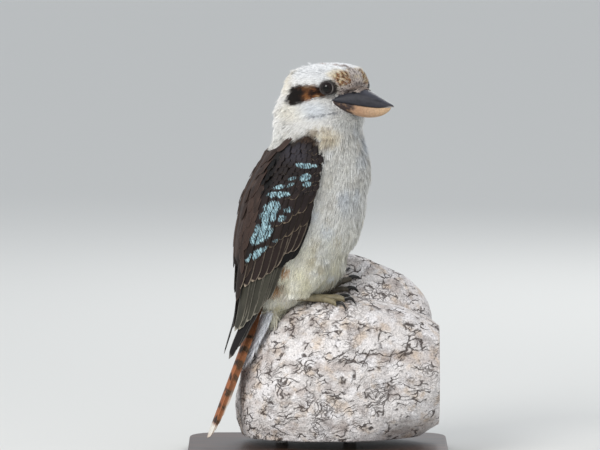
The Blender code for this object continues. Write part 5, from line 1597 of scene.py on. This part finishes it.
def round_bar(path, radii, sides, scutes):
    """A bar along a smooth path whose upper side is stepped in scutes and whose underside has pads."""
    steps = len(path) * 10
    knots = np.linspace(0.0, 1.0, len(path))
    t = np.linspace(0.0, 1.0, steps)
    table = np.column_stack((knots, np.array(path), np.array(radii)))
    x, y, z, radius = smooth(table, t)
    middle = np.stack((x, y, z), -1)
    ahead = unit(np.gradient(middle, axis=0))
    across = unit(np.cross(ahead, UP))
    up = np.cross(across, ahead)
    angle = circle(sides)
    saw = (t * scutes) % 1.0
    top = np.clip(np.sin(angle), 0.0, 1.0)[None]
    pads = np.clip(-np.sin(angle), 0.0, 1.0)[None] * np.sin(t * scutes * np.pi)[:, None]
    swell = 1.0 + (0.10 * (0.5 - saw)[:, None] * top + 0.06 * pads if scutes else 0.0)
    close = np.sqrt(np.clip(np.minimum(t, 1.0 - t) / 0.03, 0.02, 1.0))[:, None]
    reach = radius[:, None] * swell * close
    ring = across[:, None] * np.cos(angle)[None, :, None] + up[:, None] * np.sin(angle)[None, :, None]
    groove = (1.0 - ramp(saw, 0.0, 0.12))[:, None] * (0.3 + 0.7 * top)
    return middle[:, None] + reach[..., None] * ring, groove


# %% Toes and claws
def foot(word):
    """Shank and toes of one foot as parts with their colours, and its claws as others."""
    side, _, heel, (bx, by) = LEGS[word]
    # painted shade: the left foot, the far one, is a darker copy of the same skin, as it lies in shadow
    skin_colour, dark_colour = ("#857b60", "#3f3829") if word == "right" else ("#514a3c", "#241f19")
    heel = np.array(heel)
    ball = np.array((bx, by, bark_level(bx, by, 3.7)))
    way = unit(heel - ball)
    path = [ball - way * 1.5, ball, (ball + heel) / 2, heel, heel + way * 5.0]
    bars, claws = [round_bar(path, (3.3, 3.9, 3.3, 3.5, 3.2), 22, 11)], []
    for turn, length, radius in TOES:
        angle = math.radians((turn + (20.0 if word == "right" else 0.0)) * side)
        bone = length - CLAW_LENGTH * 0.25
        path, radii = [], []
        for share in np.linspace(0.0, 1.0, 8):
            x, y = bx + math.cos(angle) * bone * share, by + math.sin(angle) * bone * share
            thick = radius * (1.0 - 0.28 * share)
            knuckle = 1.0 + 0.07 * math.cos(share * 2.0 * math.pi * (2.0 if turn > 90 else 3.0))
            path.append((x, y, bark_level(x, y, thick) + 0.05))
            radii.append(thick * knuckle)
        bars.append(round_bar(path, radii, 22, int(bone / 1.9)))
        ahead = np.array((math.cos(angle), math.sin(angle), 0.0))
        points, thin = [], []
        for reach, arch, share in CLAW:
            knot = np.array(path[-1]) + ahead * reach + np.array((0.0, 0.0, arch))
            thick = radii[-1] * 0.86 * (1.0 - 0.9 * share)
            knot[2] = max(bark_level(knot[0], knot[1], thick), knot[2])
            points.append(knot)
            thin.append(thick)
        claws.append(round_bar(points, thin, 16, 0)[0])
    toes = []
    for place, groove in bars:
        # darker in the grooves between scutes and in blotches of noise
        grooves_and_blotches = groove * 0.8 + 0.35 * ramp(noise(place, 3.0, 171), 0.0, 0.6)
        toes.append((place, lay(plain(place, skin_colour), dark_colour, grooves_and_blotches)))
    return toes, [(place, plain(place, "#14110f")) for place in claws]


foot_finish, tree, shader, fine = painted("scaly foot skin", 1800.0, 0.16, Roughness=0.5)
bumps(tree, shader, fine, 0.4, 0.0003)
claw_finish = painted("claw horn", 900.0, 0.1, Roughness=0.3)[0]
for word in LEGS:
    toes, claws = foot(word)
    add_parts(f"toes_{word}", toes, foot_finish, (f"foot_{word}",))
    add_parts(f"claws_{word}", claws, claw_finish)

# %% [markdown]
# ## The stand
# The base and the rods are the frame's own solids with a better finish: dark oiled wood with long grain,
# and brushed steel.

# %% Stand finishes
wood_finish, tree, shader = new_finish("oiled dark wood", Roughness=0.38)
along_board = stretched(tree, object_place(tree), (3.0, 40.0, 40.0))
grain = noise_node(tree, along_board, 4.0, 6.0, Distortion=0.6)[0]
tone = blend(tree, step_between(tree, grain, 0.35, 0.65), rgba("#2a1a12"), rgba("#4b2f20"))
tree.links.new(tone, shader.inputs["Base Color"])
bumps(tree, shader, grain, 0.15, 0.0005)
steel_finish, tree, shader = new_finish(
    "brushed steel", Roughness=0.3, Metallic=1.0, Base_Color=rgba("#8f8d8a")
)
brush = noise_node(tree, stretched(tree, object_place(tree), (1.0, 1.0, 60.0)), 60.0)[0]
tree.links.new(step_between(tree, brush, 0.3, 0.7, 0.24, 0.4), shader.inputs["Roughness"])
for name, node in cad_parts.items():
    if name.startswith("stand_"):
        node.data.materials.clear()
        node.data.materials.append(wood_finish if name == "stand_base" else steel_finish)
        print("finished", name)

# %% [markdown]
# ## Floor, light and camera
# A pale floor and sky light the bird from all round. A large soft light high on the left in front makes the
# shadows and the glint in the eye, a weaker one behind parts the bird from the floor, and the camera looks
# from almost level through a long lens.

# %% Floor and sky
floor_finish = new_finish("pale floor", Roughness=0.9, Base_Color=rgba("#d9d9d6"))[0]
data = bpy.data.meshes.new("floor")
corners = [(x, y, -0.0005) for x, y in ((-30.0, -30.0), (30.0, -30.0), (30.0, 30.0), (-30.0, 30.0))]
data.from_pydata(corners, [], [(0, 1, 2, 3)])
data.materials.append(floor_finish)
floor = bpy.data.objects.new("floor", data)
bpy.context.scene.collection.objects.link(floor)
world = bpy.data.worlds.new("pale sky")
world.use_nodes = True
world.node_tree.nodes["Background"].inputs["Color"].default_value = rgba("#dfe3e8")
world.node_tree.nodes["Background"].inputs["Strength"].default_value = 0.92
bpy.context.scene.world = world


# %% Lights and camera
def area_light(name, place, aim, size, power, colour):
    """A square soft light that looks at a point."""
    lamp = bpy.data.lights.new(name, "AREA")
    lamp.size, lamp.energy, lamp.color = size, power, linear(colour)
    made = bpy.data.objects.new(name, lamp)
    made.location = place
    made.rotation_euler = (Vector(aim) - Vector(place)).to_track_quat("-Z", "Y").to_euler()
    bpy.context.scene.collection.objects.link(made)


area_light("key", (-1.1, -1.55, 1.5), (0.0, 0.0, 0.25), 1.0, 29.0, "#fffdfa")
area_light("back", (0.6, 1.8, 1.4), (0.0, 0.0, 0.25), 1.0, 12.0, "#ffffff")
CAMERA_DISTANCE, VIEW_WIDTH, SENSOR = 6.0, 0.564, 36.0
eye = bpy.data.cameras.new("camera")
eye.sensor_width, eye.lens, eye.clip_end = SENSOR, SENSOR * CAMERA_DISTANCE / VIEW_WIDTH, 100.0
camera = bpy.data.objects.new("camera", eye)
lift = math.radians(5.0)
target = Vector((-0.0169, 0.0, 0.2175))
camera.location = target + CAMERA_DISTANCE * Vector((0.0, -math.cos(lift), math.sin(lift)))
camera.rotation_euler = (target - camera.location).to_track_quat("-Z", "Y").to_euler()
bpy.context.scene.collection.objects.link(camera)
bpy.context.scene.camera = camera
bpy.context.scene.render.resolution_x, bpy.context.scene.render.resolution_y = 600, 450
bpy.context.scene.view_settings.view_transform = "Standard"

# %% Update the scene
bpy.context.view_layer.update()
